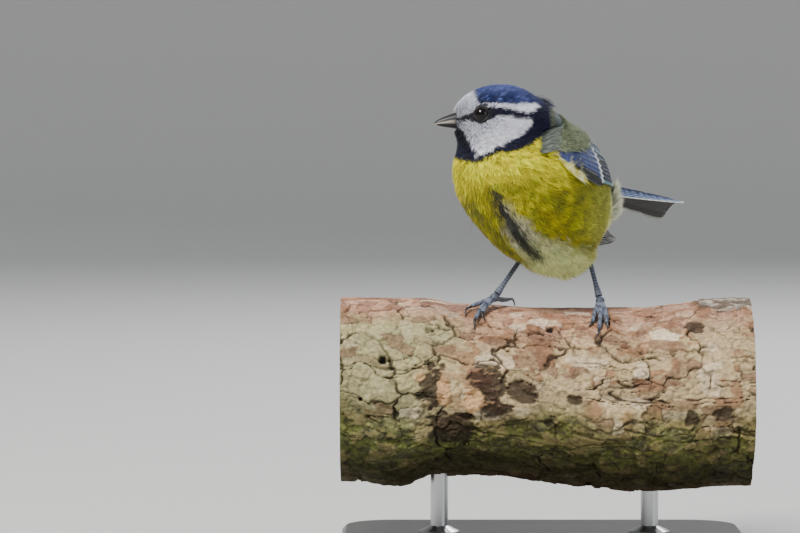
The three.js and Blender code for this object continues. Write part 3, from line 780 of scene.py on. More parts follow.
@dataclass
class Strands:
    """Feathers made of fine tapered blades that open from their roots and close to a soft point."""

    seed: int
    width: float = 0.15
    middle_height: float = -0.4
    tip_height: float = 0.0
    ruffle: float = 0.3
    fan: float = 0.5
    closing: float = 0.25
    turn: float = 0.12
    root_tone: float = 0.4
    tip_tone: float = 1.2
    feather_tone: float = 0.13
    blade_tone: float = 0.11
    stand: float = 0.0

    def on_body(
        self, roots: Array, lie: Array, lengths: Array, tints: Array, count: int
    ) -> Blades:
        """Blades of feathers that follow the body.

        Args:
            roots: Where the feathers grow.
            lie: The direction each lies in.
            lengths: How long each is.
            tints: Each one's colour.
            count: How many blades a feather has.

        Returns:
            The corners, their colours, their map places and the groups of faces.
        """
        rng = np.random.default_rng(self.seed)
        n = len(roots)
        normal = PLUMAGE.normal(roots)
        lie = unit(lie - normal * np.sum(lie * normal, -1, keepdims=True))
        lie = unit(lie + np.cross(normal, lie) * rng.normal(0, self.turn, (n, 1)))
        aside = np.cross(normal, lie)
        fan = np.linspace(-1, 1, count)[None, :] + rng.normal(0, 0.15, (n, count))
        long = lengths[:, None] * (1 - 0.22 * fan**2) * rng.uniform(0.8, 1.15, (n, count))
        across = (fan * lengths[:, None])[..., None] * aside[:, None]
        start = roots[:, None] + across * 0.1
        middle = start + lie[:, None] * (0.5 * long)[..., None] + across * self.fan * 0.3
        tip = start + lie[:, None] * long[..., None] + across * (self.fan * self.closing - 0.06)
        raised = rng.uniform(-1, 1, (n, 1)) * 0.65 + rng.uniform(-1, 1, (n, count)) * 0.35
        proud = self.stand * lengths[:, None] * rng.uniform(0.2, 1.0, (n, 1))
        middle = PLUMAGE.settled(middle, self.middle_height + 0.35 * self.ruffle * raised + 0.3 * proud)
        tip = PLUMAGE.settled(tip, self.tip_height + self.ruffle * raised + proud)
        return self.blades(start, middle, tip, PLUMAGE.normal(middle), tints, unwrapped(roots), fan)

    def on_wing(
        self, wing: "Wing", along: Array, across: Array, reach: Array, rise: Array, tints: Array, count: int,
        height: float,
    ) -> Blades:
        """Blades of soft feathers that lie over a folded wing.

        Args:
            wing: The wing.
            along: Where each starts along the wing.
            across: Where each starts across it.
            reach: How far each runs along the wing.
            rise: How far each runs across it.
            tints: Each one's colour.
            count: How many blades a feather has.
            height: How far the tips lie above the arm.

        Returns:
            The corners, their colours, their map places and the groups of faces.
        """
        rng = np.random.default_rng(self.seed)
        n = len(along)
        fan = np.linspace(-1, 1, count)[None, :] + rng.normal(0, 0.15, (n, count))
        long = (1 - 0.22 * fan**2) * rng.uniform(0.8, 1.15, (n, count))
        lean = rng.normal(0, self.turn, (n, 1))
        at = lambda share, spread: (
            along[:, None] + reach[:, None] * long * share,
            across[:, None] + rise[:, None] * long * share + (
                fan * spread + lean * share
            ) * 3 * np.abs(reach[:, None]),
        )
        raised = rng.uniform(-1, 1, (n, 1)) * 0.65 + rng.uniform(-1, 1, (n, count)) * 0.35
        spots = []
        for share, spread, up in (
            (0, 0.1, -0.5), (0.5, 0.3 * self.fan, 0.7), (1, self.fan * self.closing, 1.0)
        ):
            a, b = at(share, spread)
            level = wing.arm(a) + up * height + self.ruffle * raised * share
            spots.append(wing.sheet(a, b, level))
        normal = PLUMAGE.normal(spots[1])
        return self.blades(spots[0], spots[1], spots[2], normal, tints, unwrapped(spots[0][:, 0]), fan)

    def blades(
        self, start: Array, middle: Array, tip: Array, out: Array, tints: Array, roots: Array, fan: Array
    ) -> Blades:
        """Makes the blades between given places.

        Args:
            start: Where each blade starts, by feather and blade.
            middle: Its middle.
            tip: Its tip.
            out: The outward direction at its middle.
            tints: Each feather's colour.
            roots: Each feather's place on the map.
            fan: Each blade's place in its feather, from -1 to 1.

        Returns:
            The corners, their colours, their map places and the groups of faces.
        """
        rng = np.random.default_rng(self.seed + 1)
        n, count = fan.shape
        along = unit(tip - start)
        flat = unit(np.cross(along, out) + out * rng.normal(0, 0.35, (n, count, 1)))
        half = (self.width * rng.uniform(0.7, 1.25, (n, count)))[..., None] * flat / 2
        corners = np.stack([start - half, start + half, middle - half * 0.9, middle + half * 0.9, tip], 2)
        shade = np.exp(rng.normal(0, self.feather_tone, (n, 1)) + rng.normal(0, self.blade_tone, (n, count)))
        # Roots darker: partly the feathers' grey bases, partly painted shade between the locks.
        tone = np.array([self.root_tone, self.root_tone, 0.85, 0.85, self.tip_tone])
        colours = tints[:, None, None, :] * (shade[..., None] * tone)[..., None]
        warm = 1 + rng.normal(0, 0.035, (n, 1, 1, 3))
        patch = np.array([[-1, -1], [1, -1], [-1, 0.2], [1, 0.2], [0, 1]]) * 0.0014
        maps = roots[:, None, None, :] + patch + (fan[..., None, None] * [0.0003, 0])
        first = np.arange(n * count)[:, None] * 5
        faces = [first + np.array([0, 1, 3, 2]), first + np.array([2, 3, 4])]
        return corners.reshape(-1, 3), np.clip(
            colours * warm, 0, 1
        ).reshape(-1, 3), maps.reshape(-1, 2), faces


def flow(places: Array) -> Array:
    """The lie of the plumage: back from the bill, down the neck and towards the tail.

    Args:
        places: Places in the row frame.

    Returns:
        A direction for each place.
    """
    bill = HEAD.world((15.5, 0, -1.6))
    crown = HEAD.world((2, 0, 4))
    stern = TAIL.world((-22, 0, -1))
    from_bill = unit(places - bill)
    from_head = unit(places - crown)
    to_tail = unit(stern - places)
    headed = ramp(HEAD.local(places)[..., 2], -12, -5)[..., None]
    return headed * from_bill + (1 - headed) * (from_head + 1.1 * to_tail)


def flow_unit(places: Array) -> Array:
    """The lie of the plumage along the surface, one long.

    Args:
        places: Places in the row frame.

    Returns:
        A direction for each place.
    """
    normal = PLUMAGE.normal(places)
    lie = flow(places)
    return unit(lie - normal * np.sum(lie * normal, -1, keepdims=True))


def spaced(places: Array, gaps: Array, seed: int) -> Array:
    """Numbers of places kept so that no two are closer than their gap.

    Args:
        places: Places in the row frame.
        gaps: The least distance for each.
        seed: The number of the draw or pattern.

    Returns:
        The numbers of the kept places.
    """
    rng = np.random.default_rng(seed)
    kept: dict[tuple[int, int, int], list[int]] = {}
    chosen = []
    keys = np.floor(places / float(gaps.max())).astype(int)
    for i in rng.permutation(len(places)):
        x, y, z = keys[i]
        place, gap = places[i], gaps[i]
        near = (places[j] - place for a, b, c in STEPS_ROUND for j in kept.get((x + a, y + b, z + c), ()))
        if any(away[0] ** 2 + away[1] ** 2 + away[2] ** 2 < gap**2 for away in near):
            continue
        kept.setdefault((x, y, z), []).append(int(i))
        chosen.append(int(i))
    return np.array(chosen, dtype=int)


@dataclass
class Skin:
    """The skin under the feathers, one closed surface from the face to the tail's root."""

    columns: int = 320
    rows: int = 200
    depth: float = 1.15

    def build(self) -> bpy.types.Object:
        """Builds the skin as a shell a coat's depth inside the solids' surface.

        Returns:
            The skin.
        """
        around = np.linspace(0, 2 * math.pi, self.columns, endpoint=False) - math.pi
        high = np.linspace(0.004, math.pi - 0.004, self.rows)
        theta, phi = np.meshgrid(high, around, indexing="ij")
        out = np.stack([np.sin(theta) * np.cos(phi), np.sin(theta) * np.sin(phi), np.cos(theta)], -1)
        places = PLUMAGE.reached(HEART, out.reshape(-1, 3), -self.depth)
        places += PLUMAGE.normal(places) * (0.12 * (rough(places * 1.6, 3, 4) - 0.5))[:, None]
        caps = []
        for end in (0, self.rows - 1):
            ring = np.arange(self.columns) + end * self.columns
            caps.append(ring[None, ::-1] if end == 0 else ring[None, :])
        parts = MeshParts()
        # The markings at half brightness: painted shade under the coat.
        tints = MARKINGS.at(places) * 0.5
        faces = [grid_faces(self.rows, self.columns, closed=True)[:, ::-1], *[c[:, ::-1] for c in caps]]
        parts.add(places, faces, tints, unwrapped(places))
        finish = Finish("skin", attribute="tint", roughness=0.75, specular=0.2, grain=0.2, grain_size=2200)
        made = parts.made("skin", finish.material())
        placed(made, "breast_plumage", "head", "neck", "torso", "rump", "thigh_left", "thigh_right")
        return made


@dataclass
class Coat:
    """The small feathers of the head, neck, breast, belly, flanks, back and rump."""

    seed: int = 5
    samples: int = 330000
    piece_limit: int = 190000
    blades: int = 9

    def roots(self) -> tuple[Array, Array]:
        """Root places spread evenly over the skin, and how long each feather is.

        Returns:
            The root places and the lengths.
        """
        rng = np.random.default_rng(self.seed)
        out = unit(rng.normal(size=(self.samples, 3)))
        places = PLUMAGE.reached(HEART, out, -1.0)
        away = np.linalg.norm(places - HEART, axis=-1)
        facing = np.abs(np.sum(PLUMAGE.normal(places) * out, -1))
        weight = away**2 / np.maximum(facing, 0.12)
        keep = rng.uniform(size=len(places)) < weight / np.percentile(weight, 99)
        places = places[keep]
        lengths = self.lengths(places)
        chosen = spaced(places, 0.19 + 0.08 * lengths, self.seed)
        return places[chosen], lengths[chosen]

    def lengths(self, places: Array) -> Array:
        """How long the feathers are: shortest round the bill, longest on belly and flanks.

        Args:
            places: Places in the row frame.

        Returns:
            A length for each place.
        """
        at = HEAD.local(places)
        face = np.linalg.norm(at - np.array([11.0, 0, -2]), axis=-1)
        head = 0.85 + 1.3 * ramp(face, 2, 16)
        eye = np.linalg.norm(at * [1, 0, 1] - np.array([5.3, 0, -0.8]), axis=-1)
        head = head * (0.5 + 0.5 * ramp(eye, 2.5, 5.5))
        low = ramp(-at[..., 2], 6, 19)
        back = ramp(-at[..., 0], 8, 14)
        return head + (4.4 - head) * np.clip(low + 0.3 * back, 0, 1) * 0.95

    def build(self) -> list[bpy.types.Object]:
        """Builds the coat in pieces of limited size.

        Returns:
            The coat's pieces.
        """
        roots, lengths = self.cleared(*self.roots())
        tints = MARKINGS.at(PLUMAGE.settled(roots + flow_unit(roots) * (0.55 * lengths)[:, None], 0.0))
        finish = Finish(
            "body feathers", attribute="tint", roughness=0.72, specular=0.16, sheen=0.2
        ).material()
        head = HEAD.local(roots)[:, 2] > -13.5
        at = BODY.local(roots)
        back = at[:, 2] > 6
        under = ramp(-at[:, 2], 14, 18) * ramp(-at[:, 0], -16, -4)
        made = []
        groups = (
            ("head", "head_plumage", head),
            ("breast", "breast_plumage", ~head & ~back),
            ("back", "back_plumage", ~head & back),
        )
        per_piece = self.piece_limit // (self.blades * 3)
        for label, slot, members in groups:
            picked = np.nonzero(members)[0]
            for number in range(0, len(picked), per_piece):
                part = picked[number : number + per_piece]
                parts = MeshParts()
                for style, chosen in self.styles(part, lengths, tints, under, number):
                    if len(chosen) == 0:
                        continue
                    corners, shown, maps, faces = style.on_body(
                        roots[chosen], flow(roots[chosen]), lengths[chosen], tints[chosen], self.blades
                    )
                    parts.add(corners, faces, shown, maps)
                piece = parts.made(f"coat_{label}_{number // per_piece + 1}", finish)
                placed(piece, slot)
                made.append(piece)
        return made

    def styles(
        self, part: Array, lengths: Array, tints: Array, under: Array, number: int
    ) -> list[tuple[Strands, Array]]:
        """The feathers of a piece by how they lie: fine, loose or fluffed, pale or dark.

        Args:
            part: The numbers of the piece's feathers.
            lengths: How long every feather is.
            tints: Every feather's colour.
            under: How far each lies on the fluffed underside.
            number: The piece's number.

        Returns:
            Each way of lying with the numbers of its feathers.
        """
        small = lengths[part] < 2.3
        fluffed = (under[part] > 0.5) & ~small
        pale = tints[part].min(1) > 0.5
        seed = self.seed + number
        fine = Strands(
            seed, width=0.14, ruffle=0.22, turn=0.12, middle_height=-0.4, tip_height=0.0, root_tone=0.4
        )
        fine.feather_tone, fine.blade_tone = 0.2, 0.16
        white = Strands(
            seed + 2, width=0.13, ruffle=0.16, turn=0.12, middle_height=-0.4, tip_height=0.0, root_tone=0.6
        )
        white.feather_tone, white.blade_tone, white.tip_tone = 0.07, 0.08, 1.05
        loose = Strands(
            seed + 4, width=0.2, ruffle=0.62, turn=0.2, middle_height=-0.2, tip_height=0.1, root_tone=0.22
        )
        loose.feather_tone, loose.blade_tone, loose.closing, loose.tip_tone = 0.26, 0.16, 0.12, 1.25
        fluffy = Strands(
            seed + 6, width=0.18, ruffle=0.6, turn=0.3, middle_height=-0.2, tip_height=0.2, root_tone=0.3
        )
        fluffy.stand, fluffy.feather_tone, fluffy.closing = 0.42, 0.16, 0.15
        return [
            (fine, part[small & ~pale]),
            (white, part[small & pale]),
            (loose, part[~small & ~fluffed]),
            (fluffy, part[fluffed]),
        ]

    def cleared(self, roots: Array, lengths: Array) -> tuple[Array, Array]:
        """Leaves out feathers under the eyes and the bill.

        Args:
            roots: Where the feathers grow.
            lengths: How long each feather is.

        Returns:
            The roots and lengths that stay.
        """
        clear = np.ones(len(roots), bool)
        for hand in (1, -1):
            eye = eye_middle(hand)
            clear &= np.linalg.norm(roots - eye[0], axis=-1) > 2.62
        at = HEAD.local(roots)
        bill = (at[:, 0] > 12.2) & (np.abs(at[:, 1]) < 2.0) & (np.abs(at[:, 2] + 1.9) < 2.3)
        return roots[clear & ~bill], lengths[clear & ~bill]


@dataclass
class SoftTufts:
    """The soft feathers that stand apart: over the wings, at the nape, the tail's root and the thighs."""

    seed: int = 61
    made: list[bpy.types.Object] = field(default_factory=list)

    def finish(self) -> bpy.types.Material:
        """The soft feathers' material."""
        return Finish("soft feathers", attribute="tint", roughness=0.74, specular=0.15, sheen=0.2).material()

    def keep(self, name: str, slot: str, blades: Blades, finish: bpy.types.Material) -> None:
        """Makes a group's blades into a piece.

        Args:
            name: The piece's name.
            slot: The material slot.
            blades: Their corners, colours, map places and faces.
            finish: The material.
        """
        corners, shown, maps, faces = blades
        parts = MeshParts()
        parts.add(corners, faces, shown, maps)
        piece = parts.made(name, finish)
        placed(piece, slot)
        self.made.append(piece)

    def scapulars(self, wing: "Wing", finish: bpy.types.Material) -> None:
        """Lays the mantle's feathers over the upper part of a folded wing.

        Args:
            wing: The wing.
            finish: The material.
        """
        rng = np.random.default_rng(self.seed + wing.hand)
        along = rng.uniform(-0.16, 0.47, 12000)
        across = rng.uniform(-0.1, 1.15, 12000)
        edge = np.interp(
            along, [-0.16, -0.06, 0.0, 0.08, 0.2, 0.32, 0.47], [0.12, 0.14, 0.2, 0.32, 0.42, 0.56, 0.92]
        )
        keep = across > edge
        along, across = along[keep], across[keep]
        spots = wing.sheet(along, across, wing.arm(along))
        chosen = spaced(spots, np.full(len(spots), 0.4), self.seed)
        along, across = along[chosen], across[chosen]
        spots = spots[chosen]
        n = len(along)
        grey = mixed(Shade.MANTLE.rgb(), Shade.NAPE.rgb(),
            0.5 * ramp(-along, 0.0, 0.1),
        )
        tints = grey * (0.8 + 0.5 * noise(spots * 0.7, 5))[:, None]
        style = Strands(self.seed + 3, width=0.16, ruffle=0.28, turn=0.1, root_tone=0.4)
        style.feather_tone = 0.16
        blades = style.on_wing(
            wing, along, across, np.full(n, 0.09), np.full(n, -0.05), tints, 8, 1.25
        )
        self.keep(f"scapulars_{wing.side}", "back_plumage", blades, finish)

    def wisps(self, wing: "Wing", finish: bpy.types.Material) -> None:
        """Lays the flank's pale loose feather ends over the wing's lower front edge.

        Args:
            wing: The wing.
            finish: The material.
        """
        rng = np.random.default_rng(self.seed + 7 * wing.hand)
        n = 110
        along = rng.uniform(-0.1, 0.24, n)
        across = rng.uniform(-0.2, 0.0, n) + 0.16 * ramp(-along, -0.06, 0.06)
        pale = ramp(rng.uniform(size=n), 0.2, 0.7) * ramp(along, -0.08, 0.06)
        tints = mixed(Shade.YELLOW.rgb(), colour(236, 238, 196), pale)
        style = Strands(self.seed + 5, width=0.12, ruffle=0.5, turn=0.34, root_tone=0.6, fan=0.9, closing=0.9)
        blades = style.on_wing(
            wing, along, across, rng.uniform(0.05, 0.09, n), rng.uniform(-0.02, 0.13, n), tints, 8, 0.5
        )
        self.keep(f"flank_wisps_{wing.side}", "breast_plumage", blades, finish)

    def free(
        self, name: str, slot: str, roots: Array, lie: Array, lengths: Array, tints: Array, width: float,
        bend: Array,
        finish: bpy.types.Material,
    ) -> None:
        """Adds a group of tufts that stand free of the body.

        Args:
            name: The group's name.
            slot: Its material slot.
            roots: Where each tuft starts.
            lie: The direction each runs in.
            lengths: How long each is.
            tints: Each one's colour.
            width: How wide a blade is.
            bend: How far the tips are carried aside.
            finish: The material.
        """
        rng = np.random.default_rng(self.seed + len(roots))
        n, count = len(roots), 9
        lie = unit(lie)
        out = PLUMAGE.normal(roots)
        aside = unit(np.cross(out, lie))
        fan = np.linspace(-1, 1, count)[None, :] + rng.normal(0, 0.2, (n, count))
        long = lengths[:, None] * rng.uniform(0.7, 1.15, (n, count))
        wide = (fan * lengths[:, None])[..., None] * (
            aside[:, None] + 0.6 * out[:, None] * rng.normal(0, 1, (n, count, 1))
        )
        start = roots[:, None] + wide * 0.08
        middle = start + lie[:, None] * (0.5 * long)[..., None] + wide * 0.15 + bend[:, None] * 0.25
        tip = start + lie[:, None] * long[..., None] + wide * 0.12 + bend[:, None]
        style = Strands(self.seed, width=width, root_tone=0.6, tip_tone=1.1)
        blades = style.blades(
            start, middle, tip, np.broadcast_to(out[:, None], middle.shape), tints, unwrapped(roots), fan
        )
        self.keep(name, slot, blades, finish)

    def mantle(self, finish: bpy.types.Material) -> None:
        """Bridges the neck and the wings with the mantle's long feathers.

        Args:
            finish: The material.
        """
        rng = np.random.default_rng(self.seed + 19)
        local = rng.uniform([-4, -15, 9], [15.5, 17, 24], (30000, 3))
        spots = BODY.world(local)
        near = np.abs(PLUMAGE.distance(spots)) < 0.6
        roots = PLUMAGE.settled(spots[near], -0.6, 3)
        behind = MARKINGS.head(roots)[1] < 0.4
        roots = roots[behind & (BODY.local(roots)[:, 2] > 9)]
        roots = roots[spaced(roots, np.full(len(roots), 0.55), self.seed)]
        at = BODY.local(roots)
        tone = mixed(Shade.MANTLE.rgb(), Shade.NAPE.rgb(),
            ramp(at[:, 0] + 0.3 * at[:, 2], 11, 17),
        )
        tints = tone * (0.8 + 0.5 * noise(roots * 0.7, 5))[:, None]
        style = Strands(
            self.seed + 23, width=0.17, ruffle=0.4, turn=0.12, middle_height=0.3, tip_height=0.9,
            root_tone=0.4
        )
        style.feather_tone, style.stand = 0.18, 0.12
        blades = style.on_body(roots, flow(roots), np.full(len(roots), 4.6), tints, 9)
        self.keep("mantle_feathers", "back_plumage", blades, finish)

    def nape(self, finish: bpy.types.Material) -> None:
        """Raises the crown's last feathers to a small point over the nape.

        Args:
            finish: The material.
        """
        rng = np.random.default_rng(self.seed + 11)
        n = 90
        local = np.stack([rng.uniform(-12.6, -9.5, n), rng.normal(0, 2.2, n), rng.uniform(1.2, 5.2, n)], -1)
        roots = PLUMAGE.settled(HEAD.world(local), -0.4, 4)
        aim = HEAD.world((-17.2, 0, 0.6))
        lengths = np.minimum(np.linalg.norm(aim - roots, axis=-1) * rng.uniform(0.45, 0.95, n), 4.6)
        tints = mixed(Shade.NAVY.rgb(), Shade.CROWN_TIP_AND_HIGHLIGHT.rgb(),
            ramp(rng.uniform(size=n), 0.55, 1.0) * 0.6,
        )
        self.free(
            "nape_tuft", "head_plumage", roots, aim - roots, lengths, tints, 0.14, np.zeros((n, 3)), finish
        )

    def tail_root(self, finish: bpy.types.Material) -> None:
        """Lays the pale fluffy feathers that curl up over the tail's root.

        Args:
            finish: The material.
        """
        rng = np.random.default_rng(self.seed + 13)
        n = 260
        roots = np.array([19.0, 10.2, 105.6]) + rng.normal(0, 1, (n, 3)) * [0.7, 1.0, 1.5]
        roots = PLUMAGE.settled(roots, -0.4, 3)
        high = ramp(roots[:, 2], 103.5, 108)
        lie = np.array([0.72, 0.2, 0.2]) + high[:, None] * np.array(
            [-0.1, 0.0, 0.45]
        ) + rng.normal(0, 0.1, (n, 3))
        lengths = rng.uniform(2.6, 4.0, n)
        bend = np.array([0.1, 0.2, 2.4]) * high[:, None] * rng.uniform(0.3, 1.0, (n, 1))
        tints = colour(246, 248, 220) * rng.uniform(0.86, 1, (n, 1))
        self.free("tail_root_fluff", "breast_plumage", roots, lie, lengths, tints, 0.17, bend, finish)

    def thighs(self, finish: bpy.types.Material) -> None:
        """Clothes the thighs down to the ankles.

        Args:
            finish: The material.
        """
        rng = np.random.default_rng(self.seed + 17)
        for leg in LEGS:
            n = 420
            start, end = np.array(leg.thigh), np.array(leg.ankle)
            hub = leg.grip()
            end = end + 0.13 * (hub - end)
            axis = unit(end - start)
            one = unit(np.cross(axis, [0.0, 1.0, 0.0]))
            two = np.cross(axis, one)
            share = rng.uniform(-0.25, 0.86, n)
            turn = rng.uniform(0, 2 * math.pi, n)
            radius = np.interp(share, [-0.25, 0.3, 0.86], [3.8, 2.8, 1.0])
            out = np.cos(turn)[:, None] * one + np.sin(turn)[:, None] * two
            roots = start + (end - start) * share[:, None] + out * radius[:, None]
            lie = axis + out * 0.12 + rng.normal(0, 0.12, (n, 3))
            lengths = rng.uniform(1.3, 2.3, n)
            tints = mixed(colour(150, 150, 66), colour(214, 216, 170),
                ramp(noise(roots * 0.6, 7) + 0.3 * (leg.side == "left"), 0.4, 0.8),
            )
            self.free(
                f"thigh_feathers_{leg.side}", "breast_plumage", roots, lie, lengths, tints, 0.14,
                np.zeros((n, 3)), finish,
            )

    def build(self) -> list[bpy.types.Object]:
        """Builds every group.

        Returns:
            The pieces.
        """
        finish = self.finish()
        for wing in (LEFT_WING, RIGHT_WING):
            self.scapulars(wing, finish)
            self.wisps(wing, finish)
        self.mantle(finish)
        self.nape(finish)
        self.tail_root(finish)
        self.thighs(finish)
        return self.made


@dataclass(frozen=True)
class EyeSize:
    """The eyeball, how far it shows, and its lids."""

    radius: float = 2.6
    forward: float = 5.3
    up: float = -0.8
    showing: float = 0.62
    lid_radius: float = 1.95
    lid_thickness: float = 0.34


EYE = EyeSize()


def eye_middle(hand: int) -> tuple[Array, Array]:
    """The middle of an eyeball and the direction it looks in.

    Args:
        hand: 1 for the left and -1 for the right.

    Returns:
        The middle and the direction.
    """
    outward = HEAD.direction((0.22, hand, 0.1))
    start = HEAD.world((EYE.forward, 0, EYE.up))
    reach = 0.0
    while reach < 20 and PLUMAGE.distance((start + outward * reach)[None])[0] < 0:
        reach += 0.05
    return start + outward * (reach - EYE.radius + EYE.showing), outward


@dataclass
class Eye:
    """One eye: a glossy dark ball inside a rim of small-feathered lids."""

    hand: int

    def build(self) -> list[bpy.types.Object]:
        """Builds the ball and the lids.

        Returns:
            The eyeball and the lids.
        """
        side = "left" if self.hand > 0 else "right"
        middle, outward = eye_middle(self.hand)
        above = unit(np.array([0, 0, 1.0]) - outward * outward[2])
        ahead = np.cross(above, outward) * -self.hand
        ball = MeshParts()
        rows, columns = 40, 48
        theta, phi = np.meshgrid(
            np.linspace(0.002, math.pi * 0.62, rows), np.linspace(
                0, 2 * math.pi, columns, endpoint=False
            ), indexing="ij"
        )
        aside = np.cross(outward, above)
        out = (
            np.cos(theta)[..., None] * outward
            + (np.sin(theta) * np.cos(phi))[..., None] * above
            + (np.sin(theta) * np.sin(phi))[..., None] * aside
        )
        bulge = 1 + 0.03 * np.exp(-((theta / 0.5) ** 2))
        places = middle + out * (EYE.radius * bulge)[..., None]
        iris = ramp(theta, 0.5, 0.58)[..., None] * ramp(-theta, -0.86, -0.8)[..., None]
        tints = colour(4, 4, 5) + iris * (colour(26, 17, 13) - colour(4, 4, 5))
        cap = np.arange(columns)[None, :]
        ball.add(
            places.reshape(-1, 3), [grid_faces(rows, columns, True), cap[:, ::-1]], tints.reshape(-1, 3),
            grid_map(rows, columns, 0.02, 0.02, 0.4, 0.4),
        )
        finish = Finish("eye", attribute="tint", roughness=0.05, specular=0.3)
        eyeball = ball.made(f"eyeball_{side}", finish.material())
        placed(eyeball, "eye", f"eye_{side}")
        lids = MeshParts()
        count, sides = 96, 10
        angles = np.linspace(0, 2 * math.pi, count, endpoint=False)
        across = 1.0 + 0.1 * np.cos(2 * angles)
        ring = np.stack([np.cos(angles) * across, np.sin(angles) / across], 1) * EYE.lid_radius
        path = ring[:, :1] * ahead + ring[:, 1:] * above
        lean = np.sqrt(np.maximum(EYE.radius**2 - np.sum(path**2, -1), 0))
        path = middle + path + outward * (lean + 0.05)[:, None]
        turns = np.linspace(0, 2 * math.pi, sides, endpoint=False)
        radial = unit(path - middle - outward * lean[:, None])
        thick = EYE.lid_thickness * (1 + 0.1 * np.sin(angles * 17) + 0.08 * np.sin(angles * 29 + 1))
        corners = (
            path[:, None]
            + (np.cos(turns)[None] * thick[:, None])[..., None] * radial[:, None]
            + (np.sin(turns)[None] * thick[:, None] * 0.7)[..., None] * outward
        )
        faces = grid_faces(count, sides, True)
        ring_start, ring = (count - 1) * sides, np.arange(sides)
        after = (ring + 1) % sides
        joint = np.stack([ring + ring_start, after + ring_start, after, ring], 1)
        dark = colour(14, 14, 20)
        lids.add(corners.reshape(-1, 3), [faces, joint], dark, grid_map(count, sides, 0.5, 0.02, 0.3, 0.3))
        lid_finish = Finish(
            "eyelid", attribute="tint", roughness=0.5, specular=0.4, grain=0.5, grain_size=4000
        )
        rim = lids.made(f"eyelids_{side}", lid_finish.material())
        placed(rim, "head_plumage")
        return [eyeball, rim]


@dataclass
class Bill:
    """The short stout bill in two halves with nostrils and pale cutting edges."""

    length: float = 8.7
    width: float = 4.4
    upper_depth: float = 3.1
    lower_depth: float = 2.1
    root: float = 11.2
    up: float = -2.1
    lip: float = 0.15

    def half(self, lower: bool) -> bpy.types.Object:
        """Builds one half as a closed tapering form.

        Args:
            lower: Whether it is the lower half.

        Returns:
            The half.
        """
        rows, columns = 46, 40
        length = self.length * (0.93 if lower else 1.0)
        depth = self.lower_depth if lower else self.upper_depth
        share = np.linspace(0, 1, rows) ** 0.8
        taper = 0.98 * (1 - share) ** 0.55 + 0.02
        angles = np.linspace(0, math.pi, columns // 2)
        hand = -1 if lower else 1
        rings = []
        tints = []
        grey, pale = colour(30, 31, 36), colour(190, 180, 166)
        for s, t in zip(share, taper):
            far = s * length
            droop = -0.3 * (far / self.length) ** 2
            lip = hand * self.lip * (1 - s)
            arc_side = np.cos(angles) * self.width / 2 * t
            ridge = np.abs(np.sin(angles)) ** 0.92
            arc_up = hand * ridge * depth * t + lip
            floor_side = -np.cos(angles) * self.width / 2 * t * 0.98
            floor_up = np.full(len(angles), lip - hand * 0.02)
            side = np.concatenate([arc_side, floor_side])
            high = np.concatenate([arc_up, floor_up])
            ring = np.stack([np.full(columns, self.root + far), side, self.up + droop + high], 1)
            rings.append(ring)
            near = np.abs(high - lip)
            reach = ramp(s, 0.2, 0.45)
            edge = ramp(
                -near, -(0.3 if lower else 1.0) * t - 0.05, -0.2 * t
            ) * reach * (0.35 if lower else 1.0)
            tone = mixed(grey, pale, edge)
            ridge_light = 1 - 0.35 * ramp(np.abs(high - lip), depth * t * 0.8, depth * t)
            tints.append(tone * ridge_light[:, None] * (0.85 + 0.3 * noise(ring * [0.9, 4, 4], 7))[:, None])
        places = HEAD.world(np.concatenate(rings))
        parts = MeshParts()
        caps = [np.arange(columns)[None, ::-1], (np.arange(columns) + (rows - 1) * columns)[None, :]]
        faces = [grid_faces(rows, columns, True), *caps]
        if lower:
            faces = [group[:, ::-1] for group in faces]
        parts.add(places, faces, np.concatenate(tints), grid_map(rows, columns, 0.02, 0.02, 0.9, 0.45))
        name = "lower" if lower else "upper"
        finish = Finish("bill", attribute="tint", roughness=0.42, specular=0.32, grain=0.16, grain_size=1500)
        made = parts.made(f"bill_{name}_horn", finish.material())
        placed(made, "bill", f"bill_{name}")
        return made

    def nostrils(self) -> bpy.types.Object:
        """Builds the two dark nostrils as shallow ovals on the upper half.

        Returns:
            The nostrils.
        """
        parts = MeshParts()
        for hand in (1, -1):
            middle = np.array([self.root + 1.95, hand * 1.4, self.up + 1.45])
            out = unit(np.array([0.1, hand * 0.8, 0.62]))
            angles = np.linspace(0, 2 * math.pi, 20, endpoint=False)
            ahead = unit(np.array([1.0, 0, 0]) - out * out[0])
            above = np.cross(out, ahead)
            oval = 0.42 * np.cos(angles)[:, None] * ahead, 0.26 * np.sin(angles)[:, None] * above
            rim = middle + oval[0] + oval[1] + out * 0.12
            corners = HEAD.world(np.concatenate([rim, [middle + out * 0.14]]))
            ring = np.arange(20)
            faces = [np.stack([ring, (ring + 1) % 20, np.full(20, 20)], 1)]
            parts.add(corners, faces, colour(12, 12, 14), np.array([0.95, 0.5]))
        made = parts.made("nostrils", Finish("nostril", attribute="tint", roughness=0.8).material())
        placed(made, "bill")
        return made

    def build(self) -> list[bpy.types.Object]:
        """Builds the bill."""
        return [self.half(False), self.half(True), self.nostrils()]


@dataclass(frozen=True)
class VaneStyle:
    """How one long feather is drawn: its outline, arch, thickness and number of splits."""

    outline: tuple = ((0, 0.35), (0.3, 0.75), (0.6, 1.0), (0.85, 0.95), (0.96, 0.6), (1, 0.12))
    arch: float = 0.3
    thickness: float = 0.12
    splits: int = 2


